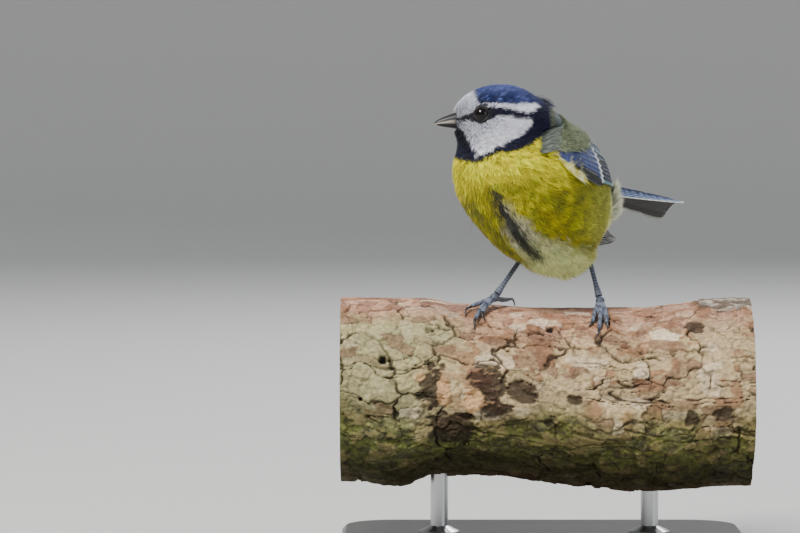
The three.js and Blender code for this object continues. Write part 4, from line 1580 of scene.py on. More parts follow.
@dataclass
class Vane:
    """One long feather: a shaft with a webbed vane on each side, closed and thin."""

    style: VaneStyle
    rows: int = 26
    columns: int = 13

    def add(
        self,
        parts: MeshParts,
        surface: Callable[[Array, Array], Array],
        tint: Callable[[Array, Array], Array],
        seed: int,
    ) -> None:
        """Adds the feather to a mesh.

        Args:
            parts: The mesh being gathered.
            surface: Gives places from shares along the feather and across it, from -1 to 1.
            tint: Gives colours from the same shares.
            seed: The feather's number.
        """
        rng = np.random.default_rng(seed)
        along = np.linspace(0, 1, self.rows)
        across = np.linspace(-1, 1, self.columns)
        s, a = np.meshgrid(along, across, indexing="ij")
        sets = np.array(self.style.outline)
        half = np.interp(s, sets[:, 0], sets[:, 1])
        nick = np.zeros_like(s)
        for _ in range(self.style.splits):
            where, side = rng.uniform(0.35, 0.92), rng.choice([-1, 1])
            slanted = s - 0.06 * np.abs(a)
            nick += 0.13 * np.exp(-(((slanted - where) / 0.018) ** 2)) * (a * side > 0.3) * np.abs(a)
        half = half * (1 - nick) * (1 + 0.03 * (noise(np.stack([s * 40, a * 0 + seed], -1)) - 0.5))
        reach = a * half
        sweep = s + 0.03 * np.abs(a) * (1 - s)
        places = surface(sweep, reach)
        du = np.gradient(places, axis=0)
        dv = np.gradient(places, axis=1)
        normal = unit(np.cross(du, dv))
        arch = self.style.arch * (1 - np.abs(a)) + 0.16 * np.exp(-((a / 0.08) ** 2)) * (1 - 0.7 * s)
        ripple = 0.05 * np.sin((s * 90 + np.abs(a) * 20)) * np.abs(a)
        up = self.facing(places, normal)
        top = places + up * (arch + ripple + self.style.thickness * 0.5)[..., None]
        low = places + up * (arch + ripple - self.style.thickness * 0.5)[..., None]
        shown = tint(s, a)
        shown = shown * (1 + 0.05 * rng.normal())
        barb = 1 + 0.08 * (noise(np.stack([s * 70 + np.abs(a) * 14, a * 2.5], -1), seed) - 0.5)
        shown = np.clip(shown * barb[..., None], 0, 1)
        count = self.rows * self.columns
        faces = grid_faces(self.rows, self.columns)
        edges = np.concatenate(
            [
                np.arange(self.columns),
                np.arange(1, self.rows) * self.columns + self.columns - 1,
                (self.rows - 1) * self.columns + np.arange(self.columns - 2, -1, -1),
                np.arange(self.rows - 2, 0, -1) * self.columns,
            ]
        )
        following = np.roll(edges, -1)
        rim = np.stack([edges, following, following + count, edges + count], 1)
        width = np.linalg.norm(dv, axis=-1).sum(1).max()
        length = np.linalg.norm(du, axis=-1).sum(0).max()
        root = np.array([0.02 + 0.9 * rng.uniform(), 0.02 + 0.9 * rng.uniform()])
        patch = grid_map(self.rows, self.columns, root[0], root[1], 0.03, 0.06)
        vanes = np.stack(
            [(s * length - np.abs(a) * half * width * 0.35) * 2.6, a * 0, a * 0], -1
        ).reshape(-1, 3)
        both = np.concatenate([top.reshape(-1, 3), low.reshape(-1, 3)])
        parts.add(
            both,
            [faces, faces[:, ::-1] + count, rim],
            np.concatenate([shown.reshape(-1, 3), self.below(shown).reshape(-1, 3)]),
            np.concatenate([patch, patch]),
            np.concatenate([vanes, vanes]),
        )

    def below(self, shown: Array) -> Array:
        """The underside's colours, as painted shade: dark brown-grey, and paler where the upper side is
        white, at seven tenths of its colour.
        """
        shaded_underside = np.broadcast_to(colour(30, 27, 26), shown.shape)
        return mixed(shaded_underside, shown * 0.7, ramp(shown.min(-1), 0.3, 0.6))

    def facing(self, places: Array, normal: Array) -> Array:
        """The vane's normals, turned away from the body.

        Args:
            places: Places in the row frame.
            normal: The normals as they come.

        Returns:
            The turned normals.
        """
        out = PLUMAGE.normal(places)
        sign = np.sign(np.sum(out * normal, -1, keepdims=True).mean())
        return normal * (sign if sign != 0 else 1)


class Edge(Enum):
    """The colour schemes of the wing's feather rows."""

    PRIMARY = "primary"
    SECONDARY = "secondary"
    TERTIAL = "tertial"
    GREATER = "greater"
    MEDIAN = "median"
    LESSER = "lesser"
    ALULA = "alula"

    def tint(self, s: Array, a: Array, outer: int) -> Array:
        """Colours at shares along and across a feather, whose outer web is on the given side.

        Args:
            s: Shares along the feather.
            a: Shares across it, from -1 to 1.
            outer: The side of the outer web, 1 or -1.

        Returns:
            The colours.
        """
        away = a * outer
        dusk, blue, green = colour(20, 23, 32), colour(38, 66, 132), colour(108, 156, 150)
        if self is Edge.PRIMARY:
            shown = mixed(dusk, blue, ramp(away, 0.35, 0.6))
            shown = mixed(shown, colour(150, 168, 186), ramp(away, 0.72, 0.9))
            return mixed(
                shown, colour(206, 208, 206),
                np.maximum(ramp(s, 0.965, 0.99), ramp(np.abs(a), 0.86, 0.96) * ramp(s, 0.85, 0.95))
            )
        if self is Edge.SECONDARY:
            shown = mixed(dusk, colour(46, 84, 140), ramp(away, 0.3, 0.5))
            shown = mixed(shown, green, ramp(away, 0.52, 0.66))
            return mixed(shown, colour(214, 220, 220), ramp(s, 0.95, 0.99) * 0.8)
        if self is Edge.TERTIAL:
            shown = mixed(dusk, colour(70, 104, 128), ramp(away, -0.1, 0.5))
            edge = np.maximum(ramp(np.abs(a), 0.72, 0.92) * ramp(s, 0.4, 0.7), ramp(s, 0.86, 0.96))
            return mixed(shown, colour(190, 194, 190), edge)
        if self is Edge.GREATER:
            shown = mixed(colour(22, 34, 74), blue, ramp(away, -0.2, 0.6))
            shown = mixed(shown, colour(74, 108, 168), ramp(away, 0.75, 0.95))
            return mixed(shown, colour(234, 238, 240), ramp(s, 0.86, 0.92))
        if self is Edge.MEDIAN:
            shown = mixed(colour(24, 38, 88), colour(58, 92, 160), ramp(np.abs(a), 0.45, 0.95))
            return mixed(shown, colour(84, 116, 176), 0.6 * ramp(s, 0.82, 1))
        if self is Edge.LESSER:
            return mixed(
                colour(28, 46, 104), colour(76, 108, 174), ramp(s, 0.5, 1) * ramp(np.abs(a), -0.2, 0.9)
            )
        return mixed(colour(12, 14, 20), colour(58, 74, 92), ramp(away, 0.82, 0.98) * 0.7)


@dataclass(frozen=True)
class Tier:
    """One row of a wing's feathers. Each pair is a start and what is added over the row."""

    count: int
    root: tuple
    tip: tuple
    half: float
    height: tuple[float, float]
    edge: Edge
    seed: int
    fine: bool


@dataclass
class Wing:
    """One folded wing: tiers of feathers laid over the closed arm and hand."""

    hand: int
    lower: tuple
    upper: tuple

    def __post_init__(self) -> None:
        """Names the side and prepares tables of the two edge curves."""
        self.side = "left" if self.hand > 0 else "right"
        self.low = smooth_path(self.lower, WING_STEPS)
        self.high = smooth_path(self.upper, WING_STEPS)

    def sheet(self, along: Array, across: Array, height: Array | float) -> Array:
        """Places over the folded wing, kept at least a height above the body.

        Args:
            along: Shares along the wing.
            across: Shares across it.
            height: The height over the surface.

        Returns:
            The places.
        """
        share = np.clip(along, 0, 1)
        steps = np.linspace(0, 1, WING_STEPS)
        line = lambda table: np.stack([np.interp(share, steps, table[:, i]) for i in range(3)], -1)
        low, high = line(self.low), line(self.high)
        local = low + (high - low) * np.asarray(across)[..., None]
        beyond = np.maximum(along - 1, 0)[..., None] * BEYOND_WING
        direction = (self.low[-1] - self.low[-6]) / np.linalg.norm(self.low[-1] - self.low[-6])
        before = np.minimum(along, 0)[..., None] * BEYOND_WING
        return PLUMAGE.lifted(
            BODY.world(local + direction * beyond + np.array([-1.0, 0.0, 0.1]) * before), height
        )

    def feather(
        self, parts: MeshParts, root: tuple, tip: tuple, half: float, height: float, scheme: Edge, seed: int,
        fine: bool,
    ) -> None:
        """Adds one feather of the wing.

        Args:
            parts: The mesh being gathered.
            root: Where it starts, as shares along and across the wing.
            tip: Where it ends.
            half: Half its width.
            height: How far it lies above the arm.
            scheme: Its colours.
            seed: Its number.
            fine: Whether it is drawn with more corners.
        """
        start, end = np.array(root), np.array(tip)

        def surface(s: Array, a: Array) -> Array:
            """Places over this feather, kept clear of the body.

            Args:
                s: Shares along the feather.
                a: Shares across it, from -1 to 1.

            Returns:
                The places.
            """
            bend = start + (end - start) * np.asarray(s)[..., None]
            lift = self.arm(bend[..., 0]) + height + 0.12
            middle = self.sheet(bend[..., 0], bend[..., 1], lift)
            beside = self.sheet(bend[..., 0], bend[..., 1] + 0.04, lift)
            aside = unit(beside - middle)
            place = middle + aside * (a * half)[..., None]
            keep = PLUMAGE.distance(middle)
            return PLUMAGE.lifted(place, np.maximum(keep - 0.25 - 0.1 * np.abs(a), 0.15))

        outline = {
            Edge.PRIMARY: ((0, 0.5), (0.3, 0.85), (0.7, 0.95), (0.92, 0.85), (0.975, 0.62), (1, 0.22)),
            Edge.SECONDARY: ((0, 0.5), (0.3, 0.9), (0.75, 1), (0.93, 0.86), (0.98, 0.6), (1, 0.15)),
            Edge.TERTIAL: ((0, 0.5), (0.3, 0.95), (0.7, 1), (0.92, 0.85), (0.98, 0.5), (1, 0.12)),
        }.get(scheme, ((0, 0.5), (0.3, 0.9), (0.65, 1), (0.88, 0.85), (0.97, 0.5), (1, 0.12)))
        style = VaneStyle(outline=outline, arch=0.16 + 0.05 * half, splits=3 if fine else 1)
        rows, columns = (34, 13) if fine else (14, 9)
        Vane(style, rows, columns).add(parts, surface, lambda s, a: scheme.tint(s, a, OUTER_WEB), seed)

    def arm(self, along: Array) -> Array:
        """How far the folded arm stands out from the body."""
        return 0.2 + 1.05 * ramp(along, -0.06, 0.3)

    def tiers(self) -> list[Tier]:
        """The rows of feathers, from the long quills to the smallest coverts.

        Returns:
            The rows.
        """
        if self.hand > 0:
            point = ((1, -0.045), (0.3, 0.3))
        else:
            point = ((1.0, -0.04), (-0.28, 0.95))
        lesser = []
        for row in range(5):
            start = 0.13 - 0.028 * row
            ends = ((start, 0), (0.03, 0.62)), ((start + 0.1, 0), (0.05, 0.6))
            lesser.append(
                Tier(12, *ends, 0.95, (0.16 + 0.05 * row, 0.08), Edge.LESSER, 120 + row * 20, False)
            )
        return [
            Tier(9, ((0.34, 0), (0.12, 0.24)), point, 2.1, (-0.75, 0.5), Edge.PRIMARY, 0, True),
            Tier(
                9, ((0.3, 0), (0.2, 0.46)), ((0.74, -0.08), (0.16, 0.56)), 2.0, (-0.45, 0.4), Edge.SECONDARY,
                20, True
            ),
            Tier(
                3, ((0.26, 0), (0.62, 0.26)), ((0.68, -0.14), (0.62, 0.24)), 2.7, (-0.02, 0.3), Edge.TERTIAL,
                40, True
            ),
            Tier(
                12, ((0.22, 0), (0.05, 0.85)), ((0.49, -0.07), (0.1, 0.82)), 1.5, (0.0, 0.22), Edge.GREATER,
                60, False
            ),
            Tier(
                4, ((0.18, 0), (-0.02, 0.08)), ((0.47, -0.04), (0.02, 0.08)), 1.15, (0.12, 0.1), Edge.ALULA,
                80, False
            ),
            Tier(
                13, ((0.13, 0), (0.05, 0.86)), ((0.33, 0), (0.08, 0.83)), 1.25, (0.2, 0.22), Edge.MEDIAN, 100,
                False
            ),
            *lesser,
        ]

    def build(self) -> list[bpy.types.Object]:
        """Builds the wing's tiers.

        Returns:
            The quills and the coverts.
        """
        quills, coverts = MeshParts(), MeshParts()
        seed = 100 if self.hand > 0 else 500
        for tier in self.tiers():
            parts = quills if tier.fine else coverts
            for i, s in enumerate(np.linspace(0, 1, tier.count)):
                root, tip = (tuple(at + step * s for at, step in pair) for pair in (tier.root, tier.tip))
                height = tier.height[0] + tier.height[1] * s
                self.feather(parts, root, tip, tier.half, height, tier.edge, seed + tier.seed + i, tier.fine)
        finish = Finish(
            "wing feathers", attribute="tint", roughness=0.5, specular=0.35, sheen=0.15, barbs=0.5
        ).material()
        made = [
            quills.made(f"wing_{self.side}_quills", finish), coverts.made(f"wing_{self.side}_coverts", finish)
        ]
        placed(made[0], "wing_plumage", f"wing_{self.side}")
        placed(made[1], "wing_plumage")
        return made


@dataclass
class Tail:
    """The closed tail: six pairs of long feathers under one another."""

    length: float = 49.5
    half: float = 2.3

    def build(self) -> list[bpy.types.Object]:
        """Builds the tail's feathers.

        Returns:
            The tail's feathers.
        """
        parts = MeshParts()
        outline = ((0, 0.35), (0.3, 0.62), (0.6, 0.86), (0.88, 1), (0.965, 0.82), (1, 0.3))
        style = VaneStyle(outline=outline, arch=0.22, thickness=0.16, splits=3)
        for number in range(1, 7):
            for hand in (1, -1):
                order = number - 0.5
                length = self.length - (0.45 if hand > 0 else 0.2) * order

                def surface(
                    s: Array, a: Array, order: float = order, hand: int = hand, length: float = length
                ) -> Array:
                    """Places over this feather.

                    Args:
                        s: Shares along the feather.
                        a: Shares across it, from -1 to 1.
                        order: How far out it lies, in feathers.
                        hand: 1 for the left and -1 for the right.
                        length: How long it is.

                    Returns:
                        The places.
                    """
                    flat = 1 - 0.65 * s if hand > 0 else np.ones_like(s)
                    tilt = np.radians(-hand * (6 + 9 * order)) * flat
                    down = (0.34 * order + 0.045 * order**2) * flat
                    spread = hand * (0.62 if hand > 0 else 0.48) * order * (0.2 + 1.05 * s)
                    side = spread + a * self.half * np.cos(tilt)
                    return TAIL.world(np.stack([-s * length, side, -down + a * self.half * np.sin(tilt)], -1))

                def tint(s: Array, a: Array, number: int = number, hand: int = hand) -> Array:
                    """Colours over this feather."""
                    return self.tint(s, a * hand, number)

                Vane(style, 40, 13).add(parts, surface, tint, 900 + number * 2 + hand)
        finish = Finish(
            "tail feathers", attribute="tint", roughness=0.5, specular=0.35, sheen=0.15, barbs=0.5
        )
        made = parts.made("tail_feathers", finish.material())
        placed(made, "tail_plumage", "tail")
        return [made]

    def tint(self, s: Array, away: Array, number: int) -> Array:
        """Colours over a tail feather, with a pale outer edge on the outermost.

        Args:
            s: Shares along the feather.
            away: Shares across it, outwards.
            number: Its number from the middle.

        Returns:
            The colours.
        """
        blue = ramp(away, -0.5, 0.3) if number > 1 else np.full(s.shape, 0.85)
        shown = mixed(colour(30, 34, 46), colour(66, 100, 156), blue)
        # Paler towards each feather's outer edge: painted sheen.
        shown = mixed(shown, colour(128, 154, 196), 0.55 * ramp(away, 0.6, 0.95))
        if number == 6:
            return mixed(
                shown, colour(196, 200, 190), np.maximum(ramp(away, 0.62, 0.8), ramp(s, 0.965, 0.99))
            )
        return mixed(shown, colour(150, 166, 178), 0.6 * ramp(s, 0.97, 0.995))


@dataclass(frozen=True)
class Branch:
    """The short cut length of old branch: its length and its outline."""

    length: float = 120
    depth_share: float = 1.02
    top: tuple = ((-60, 78.8), (-36, 78.6), (-23, 76.9), (3, 75.8), (28, 75.9), (46, 77.6), (60, 78.2))
    under: tuple = ((-60, 25.6), (-44, 23.8), (-30, 26.6), (-13, 26.9), (7, 23.9), (30, 22.2), (60, 23.2))

    def line(self, points: tuple, x: Array) -> Array:
        """A height along the branch, eased between points.

        Args:
            points: The points it passes through.
            x: How far along the branch.

        Returns:
            The heights.
        """
        points = np.array(points, float)
        index = np.clip(np.searchsorted(points[:, 0], x) - 1, 0, len(points) - 2)
        start, end = points[index], points[index + 1]
        share = np.clip((x - start[..., 0]) / (end[..., 0] - start[..., 0]), 0, 1)
        share = share * share * (3 - 2 * share)
        return start[..., 1] + (end[..., 1] - start[..., 1]) * share

    def at(self, x: Array, degrees: Array, above: Array | float) -> Array:
        """Places on the branch.

        Args:
            x: How far along it.
            degrees: How far round it from the crest, towards the viewer.
            above: Height over its surface.

        Returns:
            The places.
        """
        x = np.asarray(x, float)
        angle = np.radians(degrees)
        high, low = self.line(self.top, x), self.line(self.under, x)
        furrows = 0.35 * np.sin(7 * angle + 0.03 * x) + 0.25 * np.sin(11 * angle - 0.07 * x + 1)
        radius = (high - low) / 2 + above + furrows * ramp(np.abs(degrees), 30, 80)
        return np.stack(
            [x, -np.sin(angle) * radius * self.depth_share, (high + low) / 2 + np.cos(angle) * radius], -1
        )


BRANCH = Branch()


@dataclass
class Log:
    """The branch's bark with cracks, moss and a knot, and its two sawn ends."""

    rows: int = 420
    columns: int = 560

    def build(self) -> list[bpy.types.Object]:
        """Builds the bark and the sawn ends as one piece, whose seams at the rims are not welded.

        Returns:
            The bark.
        """
        end = BRANCH.length / 2
        x = np.linspace(-end, end, self.rows)
        degrees = np.linspace(-180, 180, self.columns, endpoint=False)
        xs, around = np.meshgrid(x, degrees, indexing="ij")
        relief, tints = self.bark(xs, around)
        places = BRANCH.at(xs, around, relief)
        parts = MeshParts()
        parts.add(
            places.reshape(-1, 3), [grid_faces(self.rows, self.columns, True)[:, ::-1]], tints.reshape(-1, 3),
            grid_map(self.rows, self.columns, 0.02, 0.02, 0.7, 0.96),
        )
        for sign in (-1, 1):
            self.sawn(parts, sign, places[0] if sign < 0 else places[-1])
        finish = Finish(
            "bark", attribute="tint", roughness=0.85, specular=0.2, grain=0.6, grain_size=1400, mottle=0.22
        )
        made = parts.made("branch_bark", finish.material())
        placed(made, "branch", "perch")
        return [made]

    def bark(self, x: Array, degrees: Array) -> tuple[Array, Array]:
        """Relief and colours of the bark.

        Args:
            x: How far along the branch.
            degrees: How far round it from the crest.

        Returns:
            The relief and the colours.
        """
        half = 26.0
        spin = np.radians(degrees)
        arc = spin * half
        ring = np.stack([x, np.cos(spin) * half, np.sin(spin) * half], -1)
        big = rough(ring * 0.06, 3, 21)
        fine = rough(ring * [0.5, 0.9, 0.9], 4, 25)
        flake = rough(ring * [0.22, 0.34, 0.34], 5, 27)
        warp = (rough(ring * 0.11, 4, 31) - ROUGH_MIDDLE) * 16
        lift = (rough(ring * 0.13, 4, 35) - ROUGH_MIDDLE) * 12
        shown_edge = ramp(rough(ring * [0.07, 0.1, 0.1], 2, 37), 0.3, 0.5)
        gap, number = cells(np.stack([(x + warp) / 15, (arc + lift) / 8], -1), 3)
        crack = ramp(-gap, -0.075, -0.02) * shown_edge
        small_gap, small_number = cells(
            np.stack([(x + 0.6 * warp + lift) / 5.5, (arc + 0.5 * lift) / 3.2], -1), 9
        )
        fine_crack = ramp(-small_gap, -0.1, -0.02) * ramp(rough(ring * 0.16, 2, 39), 0.36, 0.5)
        run = rough(np.stack([x * 0.022, (arc + 0.35 * lift) * 0.16, arc * 0], -1), 3, 43)
        fissure = ramp(-np.abs(run - 0.44), -0.012, -0.003) + ramp(-np.abs(run - 0.52), -0.009, -0.002)
        fissure = np.clip(fissure, 0, 1) * ramp(rough(ring * [0.05, 0.12, 0.12], 2, 45), 0.3, 0.42)
        flank = ramp(np.abs(degrees), 14, 34)
        step = ramp(flake, 0.42, 0.46) + 0.7 * ramp(flake, 0.53, 0.56)
        relief = 1.0 * (big - ROUGH_MIDDLE) + 0.5 * (step - 0.8) + 0.5 * (
            fine - ROUGH_MIDDLE
        ) + 0.35 * (number - 0.5)
        relief = relief - 0.9 * crack - 0.3 * fine_crack - 0.8 * fissure
        relief = relief * (0.3 + 0.7 * flank) - 0.1
        calm = np.exp(-((np.abs(degrees - 8) / 20.0) ** 2)) * (
            np.exp(-(((x - 16) / 9.0) ** 2)) + np.exp(-(((x + 14) / 10.0) ** 2))
        )
        relief = relief * (1 - 0.75 * np.clip(calm, 0, 1)) - 0.1 * np.clip(calm, 0, 1)
        shown = mixed(
            colour(182, 142, 116), colour(186, 164, 126), ramp(degrees + 60 * (big - ROUGH_MIDDLE), 20, 60)
        )
        shown = mixed(shown, colour(140, 94, 66), ramp(flake, 0.48, 0.6) * 0.7)
        shown = mixed(
            shown, colour(164, 160, 118),
            ramp(-x + 40 * (big - ROUGH_MIDDLE), 12, 40) * ramp(degrees, 25, 45) * 0.8
        )
        shown = mixed(shown, colour(118, 82, 66), ramp(small_number, 0.8, 0.88) * 0.6)
        shown = mixed(
            shown, colour(226, 208, 180),
            ramp(small_number, -0.02, 0.1) * ramp(-small_number, -0.16, -0.1) * 0.7
        )
        damp = degrees + 46 * (big - ROUGH_MIDDLE) + 26 * (fine - ROUGH_MIDDLE) + 6 * np.sin(x * 0.09 + 1)
        mossy = ramp(damp, 84, 112) * ramp(-degrees, -176, -140)
        mossy = np.maximum(mossy, ramp(-degrees, 70, 120) * 0.7)
        shown = mixed(
            shown, mixed(colour(92, 100, 40), colour(44, 50, 22), ramp(fine, 0.38, 0.6)), mossy * 0.88
        )
        shown = mixed(shown, colour(150, 136, 92), mossy * ramp(flake, 0.54, 0.6) * 0.6)
        # Darker towards the underside: painted shade.
        shown = mixed(shown, colour(34, 28, 22), ramp(np.abs(degrees), 112, 150) * 0.75)
        # Near-black along the cracks and fissures: partly the darker inner bark, partly painted shade in the
        # hollows.
        dark = colour(30, 22, 16)
        seam = np.clip(crack + 0.65 * fine_crack + 0.9 * fissure, 0, 1)
        shown = mixed(shown, dark, seam * 0.88)
        for px, pd, rx, rd in self.holes():
            spot = np.exp(-(((x - px) / rx) ** 4) - (((degrees - pd) / rd) ** 4))
            # Near-black inside the holes: painted shade.
            shown = mixed(shown, colour(12, 8, 6), np.clip(spot * 1.5, 0, 0.97))
            relief = relief - 1.3 * spot
        for px, pd, rx, rd in self.stains():
            ragged = ((x - px) / rx) ** 2 + ((degrees - pd) / rd) ** 2 + 2.2 * (fine - ROUGH_MIDDLE) + 1.4 * (
                flake - ROUGH_MIDDLE
            )
            stain = ramp(-ragged, -1.0, -0.6)
            shown = mixed(shown, colour(46, 34, 28), stain * 0.85)
            relief = relief - 0.5 * stain
        for px, pd, rx, rd in self.scars():
            ragged = ((x - px) / rx) ** 2 + ((degrees - pd) / rd) ** 2 + 1.2 * (fine - ROUGH_MIDDLE)
            wound = ramp(-ragged, -1.0, -0.7)
            shown = mixed(shown, colour(196, 156, 112), wound * 0.9)
            relief = relief + 0.5 * wound
        plate = ((x - 54) / 10.0) ** 2 + ((degrees - 6) / 20.0) ** 2 + 1.6 * (fine - ROUGH_MIDDLE)
        crust = ramp(-plate, -1.0, -0.85)
        shown = mixed(
            shown, mixed(colour(92, 80, 70), colour(168, 160, 148), ramp(fine, 0.42, 0.56)), crust * 0.9
        )
        relief = relief + crust * (0.6 + 0.8 * (flake - ROUGH_MIDDLE))
        lichen = ramp(
            -(((x + 27.5) / 2.6) ** 2) - ((degrees - 26) / 4.5) ** 2 - 2 * (fine - ROUGH_MIDDLE), -1.0, -0.5
        )
        shown = mixed(shown, colour(186, 194, 176), lichen * ramp(fine, 0.4, 0.5) * 0.8)
        shade = 0.42 + 1.1 * rough(ring * [1.2, 2.4, 2.4], 3, 51) + 0.3 * (number - 0.5)
        return relief, np.clip(shown * shade[..., None], 0, 1)

    def holes(self) -> tuple[tuple[float, float, float, float], ...]:
        """Round insect holes: place along, degrees round, and size each way."""
        return ((-47.6, 66, 1.0, 2.3), (0.9, 36, 1.05, 2.4), (-54, 92, 0.5, 1.2))

    def stains(self) -> tuple[tuple[float, float, float, float], ...]:
        """Dark stains and knots: place along, degrees round, and size each way.

        Returns:
            Four numbers for each.
        """
        return (
            (-33.5, 84, 4.5, 17), (-18, 82, 6.0, 15), (-28, 112, 8.0, 12), (-7, 86, 4.6, 8), (8, 88, 2.6, 4),
            (42.5, 38, 3.4, 6), (41.5, 100, 2.2, 6), (51, 99, 3.6, 6), (-15, 100, 5, 7),
        )

    def scars(self) -> tuple[tuple[float, float, float, float], ...]:
        """Torn places of bare wood: place along, degrees round, and size each way."""
        return ((-30, 88, 2.2, 11), (-21.5, 93, 3.4, 9), (-37, 78, 1.8, 3))

    def sawn(self, parts: MeshParts, sign: int, rim: Array) -> None:
        """Adds a sawn end with growth rings.

        Args:
            parts: The mesh being gathered.
            sign: -1 for the end towards -X and 1 for the other.
            rim: The bark's last ring.
        """
        count, rings = len(rim), 60
        middle = rim.mean(0) + np.array([0, 0.5, 1.0])
        share = np.linspace(0, 1, rings)
        share = share[:, None] ** 0.9
        places = rim[None] + (middle - rim)[None] * share[..., None]
        places = places.reshape(-1, 3)
        far = np.linalg.norm(places - middle, axis=-1)
        wander = far + 1.6 * (noise(places * 0.12, 61) - 0.5)
        grow = 0.5 + 0.5 * np.sin(wander * 4.2)
        places[:, 0] += -sign * 0.08 * grow
        wood, late = colour(196, 168, 128), colour(150, 112, 76)
        shown = mixed(wood, late, grow * 0.6)
        outer = ramp(far, 23.6, 24.6)
        shown = mixed(shown, colour(70, 56, 44), outer)
        faces = grid_faces(rings, count, True)
        low = 0.02 if sign < 0 else 0.52
        angle = np.arctan2(places[:, 1], places[:, 2] - middle[2])
        maps = np.stack(
            [0.86 + far / 60 * 0.24 * np.cos(angle), low + 0.22 + far / 60 * 0.46 * np.sin(angle)], 1
        )
        parts.add(places, [faces if sign < 0 else faces[:, ::-1]], shown, maps)


@dataclass(frozen=True)
class LegSize:
    """One leg: where its foot grips, its ankle, and where the thigh starts."""

    side: str
    hub: tuple[float, float, float]
    ankle: tuple[float, float, float]
    thigh: tuple[float, float, float]

    def grip(self) -> Array:
        """The place where the foot grips the branch."""
        return BRANCH.at(np.array(self.hub[0]), np.array(self.hub[1]), self.hub[2])


LEGS = (
    LegSize("left", (15.9, 14.6, 3.4), (12.4, 1.3, 92.7), (11, -1, 98)),
    LegSize("right", (-15, 13.2, 3.2), (-6.2, 1.1, 91.2), (-4, -1, 96)),
)


@dataclass
class Legs:
    """The slim shanks, toes and claws, taken from the solids and dressed with scales."""

    def build(self) -> list[bpy.types.Object]:
        """Builds a finely divided copy of each leg solid, with scutes raised on it.

        Returns:
            The pieces of both legs.
        """
        made = []
        finish = Finish(
            "leg scales", attribute="tint", roughness=0.46, specular=0.4, grain=0.35, grain_size=3200
        )
        horn = Finish("claw", attribute="tint", roughness=0.3, specular=0.5)
        leg_material, claw_material = finish.material(), horn.material()
        for leg in LEGS:
            for kind in ("shank", "foot"):
                node = f"{kind}_{leg.side}"
                made.append(self.dressed(node, leg, leg_material))
            for toe in ("inner", "middle", "outer", "hind"):
                made.append(self.dressed(f"claw_{leg.side}_{toe}", leg, claw_material))
        return made

    def dressed(self, node: str, leg: LegSize, finish: bpy.types.Material) -> bpy.types.Object:
        """A smooth, finely divided and coloured copy of one solid.

        Args:
            node: The solid's name.
            leg: The leg.
            finish: The material.

        Returns:
            The piece.
        """
        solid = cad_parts[node]
        mesh = solid.data.copy()
        copy = bpy.data.objects.new(f"{node}_skin", mesh)
        bpy.context.scene.collection.objects.link(copy)
        copy.matrix_world = solid.matrix_world.copy()
        claw = node.startswith("claw")
        remesh = copy.modifiers.new("even", "REMESH")
        remesh.mode = "VOXEL"
        remesh.voxel_size = 0.09 * MM if claw else 0.13 * MM
        remesh.use_smooth_shade = True
        soften = copy.modifiers.new("soften", "SMOOTH")
        soften.iterations = 3 if claw else 6
        soften.factor = 0.5
        shown = bpy.context.evaluated_depsgraph_get()
        finished = bpy.data.meshes.new_from_object(copy.evaluated_get(shown))
        copy.modifiers.clear()
        copy.data = finished
        count = len(finished.vertices)
        places = mesh_places(finished)
        moved, tints = self.surface(places, leg, claw)
        finished.vertices.foreach_set("co", (moved * MM).ravel().astype(np.float32))
        for layer in list(finished.color_attributes):
            finished.color_attributes.remove(layer)
        tint = finished.color_attributes.new("tint", "FLOAT_COLOR", "POINT")
        tint.data.foreach_set(
            "color", np.concatenate([tints, np.ones((count, 1))], 1).ravel().astype(np.float32)
        )
        hub = leg.grip()
        low, high = places.min(0), places.max(0)
        around = np.arctan2(places[:, 1] - hub[1], places[:, 0] - hub[0]) / (2 * math.pi) + 0.5
        maps = np.stack([around, (places[:, 2] - low[2]) / max(high[2] - low[2], 0.1)], 1) * 0.96 + 0.02
        set_map(finished, maps)
        finished.materials.clear()
        finished.materials.append(finish)
        finished.polygons.foreach_set("use_smooth", np.ones(len(finished.polygons), bool))
        placed(copy, "claw" if claw else "leg", node)
        LOG.info("%s: %d faces", copy.name, len(finished.polygons))
        return copy

    def surface(self, places: Array, leg: LegSize, claw: bool) -> tuple[Array, Array]:
        """Scale relief and colours over a leg or claw.

        Args:
            places: Places in the row frame.
            leg: The leg.
            claw: Whether it is a claw.

        Returns:
            The moved places and their colours.
        """
        hub = leg.grip()
        if claw:
            shade = 0.8 + 0.4 * noise(places * 1.2, 71)
            return places, colour(46, 46, 52) * shade[:, None]
        ankle = np.array(leg.ankle)
        upward = unit(ankle - hub)
        rise = (places - hub) @ upward
        out = places - hub - rise[:, None] * upward
        far = np.linalg.norm(out, axis=-1)
        reach = np.where(rise > 1.6, rise, far + 3.1)
        step = reach / 1.05
        saw = step - np.floor(step)
        ridge = ramp(saw, 0.0, 0.75) * ramp(-saw, -1.0, -0.86)
        normal = unit(out + 1e-6)
        front = ramp(-(out @ np.array([0.3, 1.0, 0.0])), -0.6, 0.4)
        moved = places + normal * (0.07 * (ridge - 0.5) * front)[:, None]
        base, pale, dark = colour(64, 70, 86), colour(128, 136, 152), colour(26, 28, 36)
        # Lighter on the raised scutes: painted highlight.
        shown = mixed(base, pale, ridge * 0.6)
        shown = mixed(shown, dark, ramp(-saw, -0.1, 0.0) * 0.8)
        blotch = noise(places * 0.8, 73)
        return moved, np.clip(shown * (0.82 + 0.36 * blotch)[:, None], 0, 1)


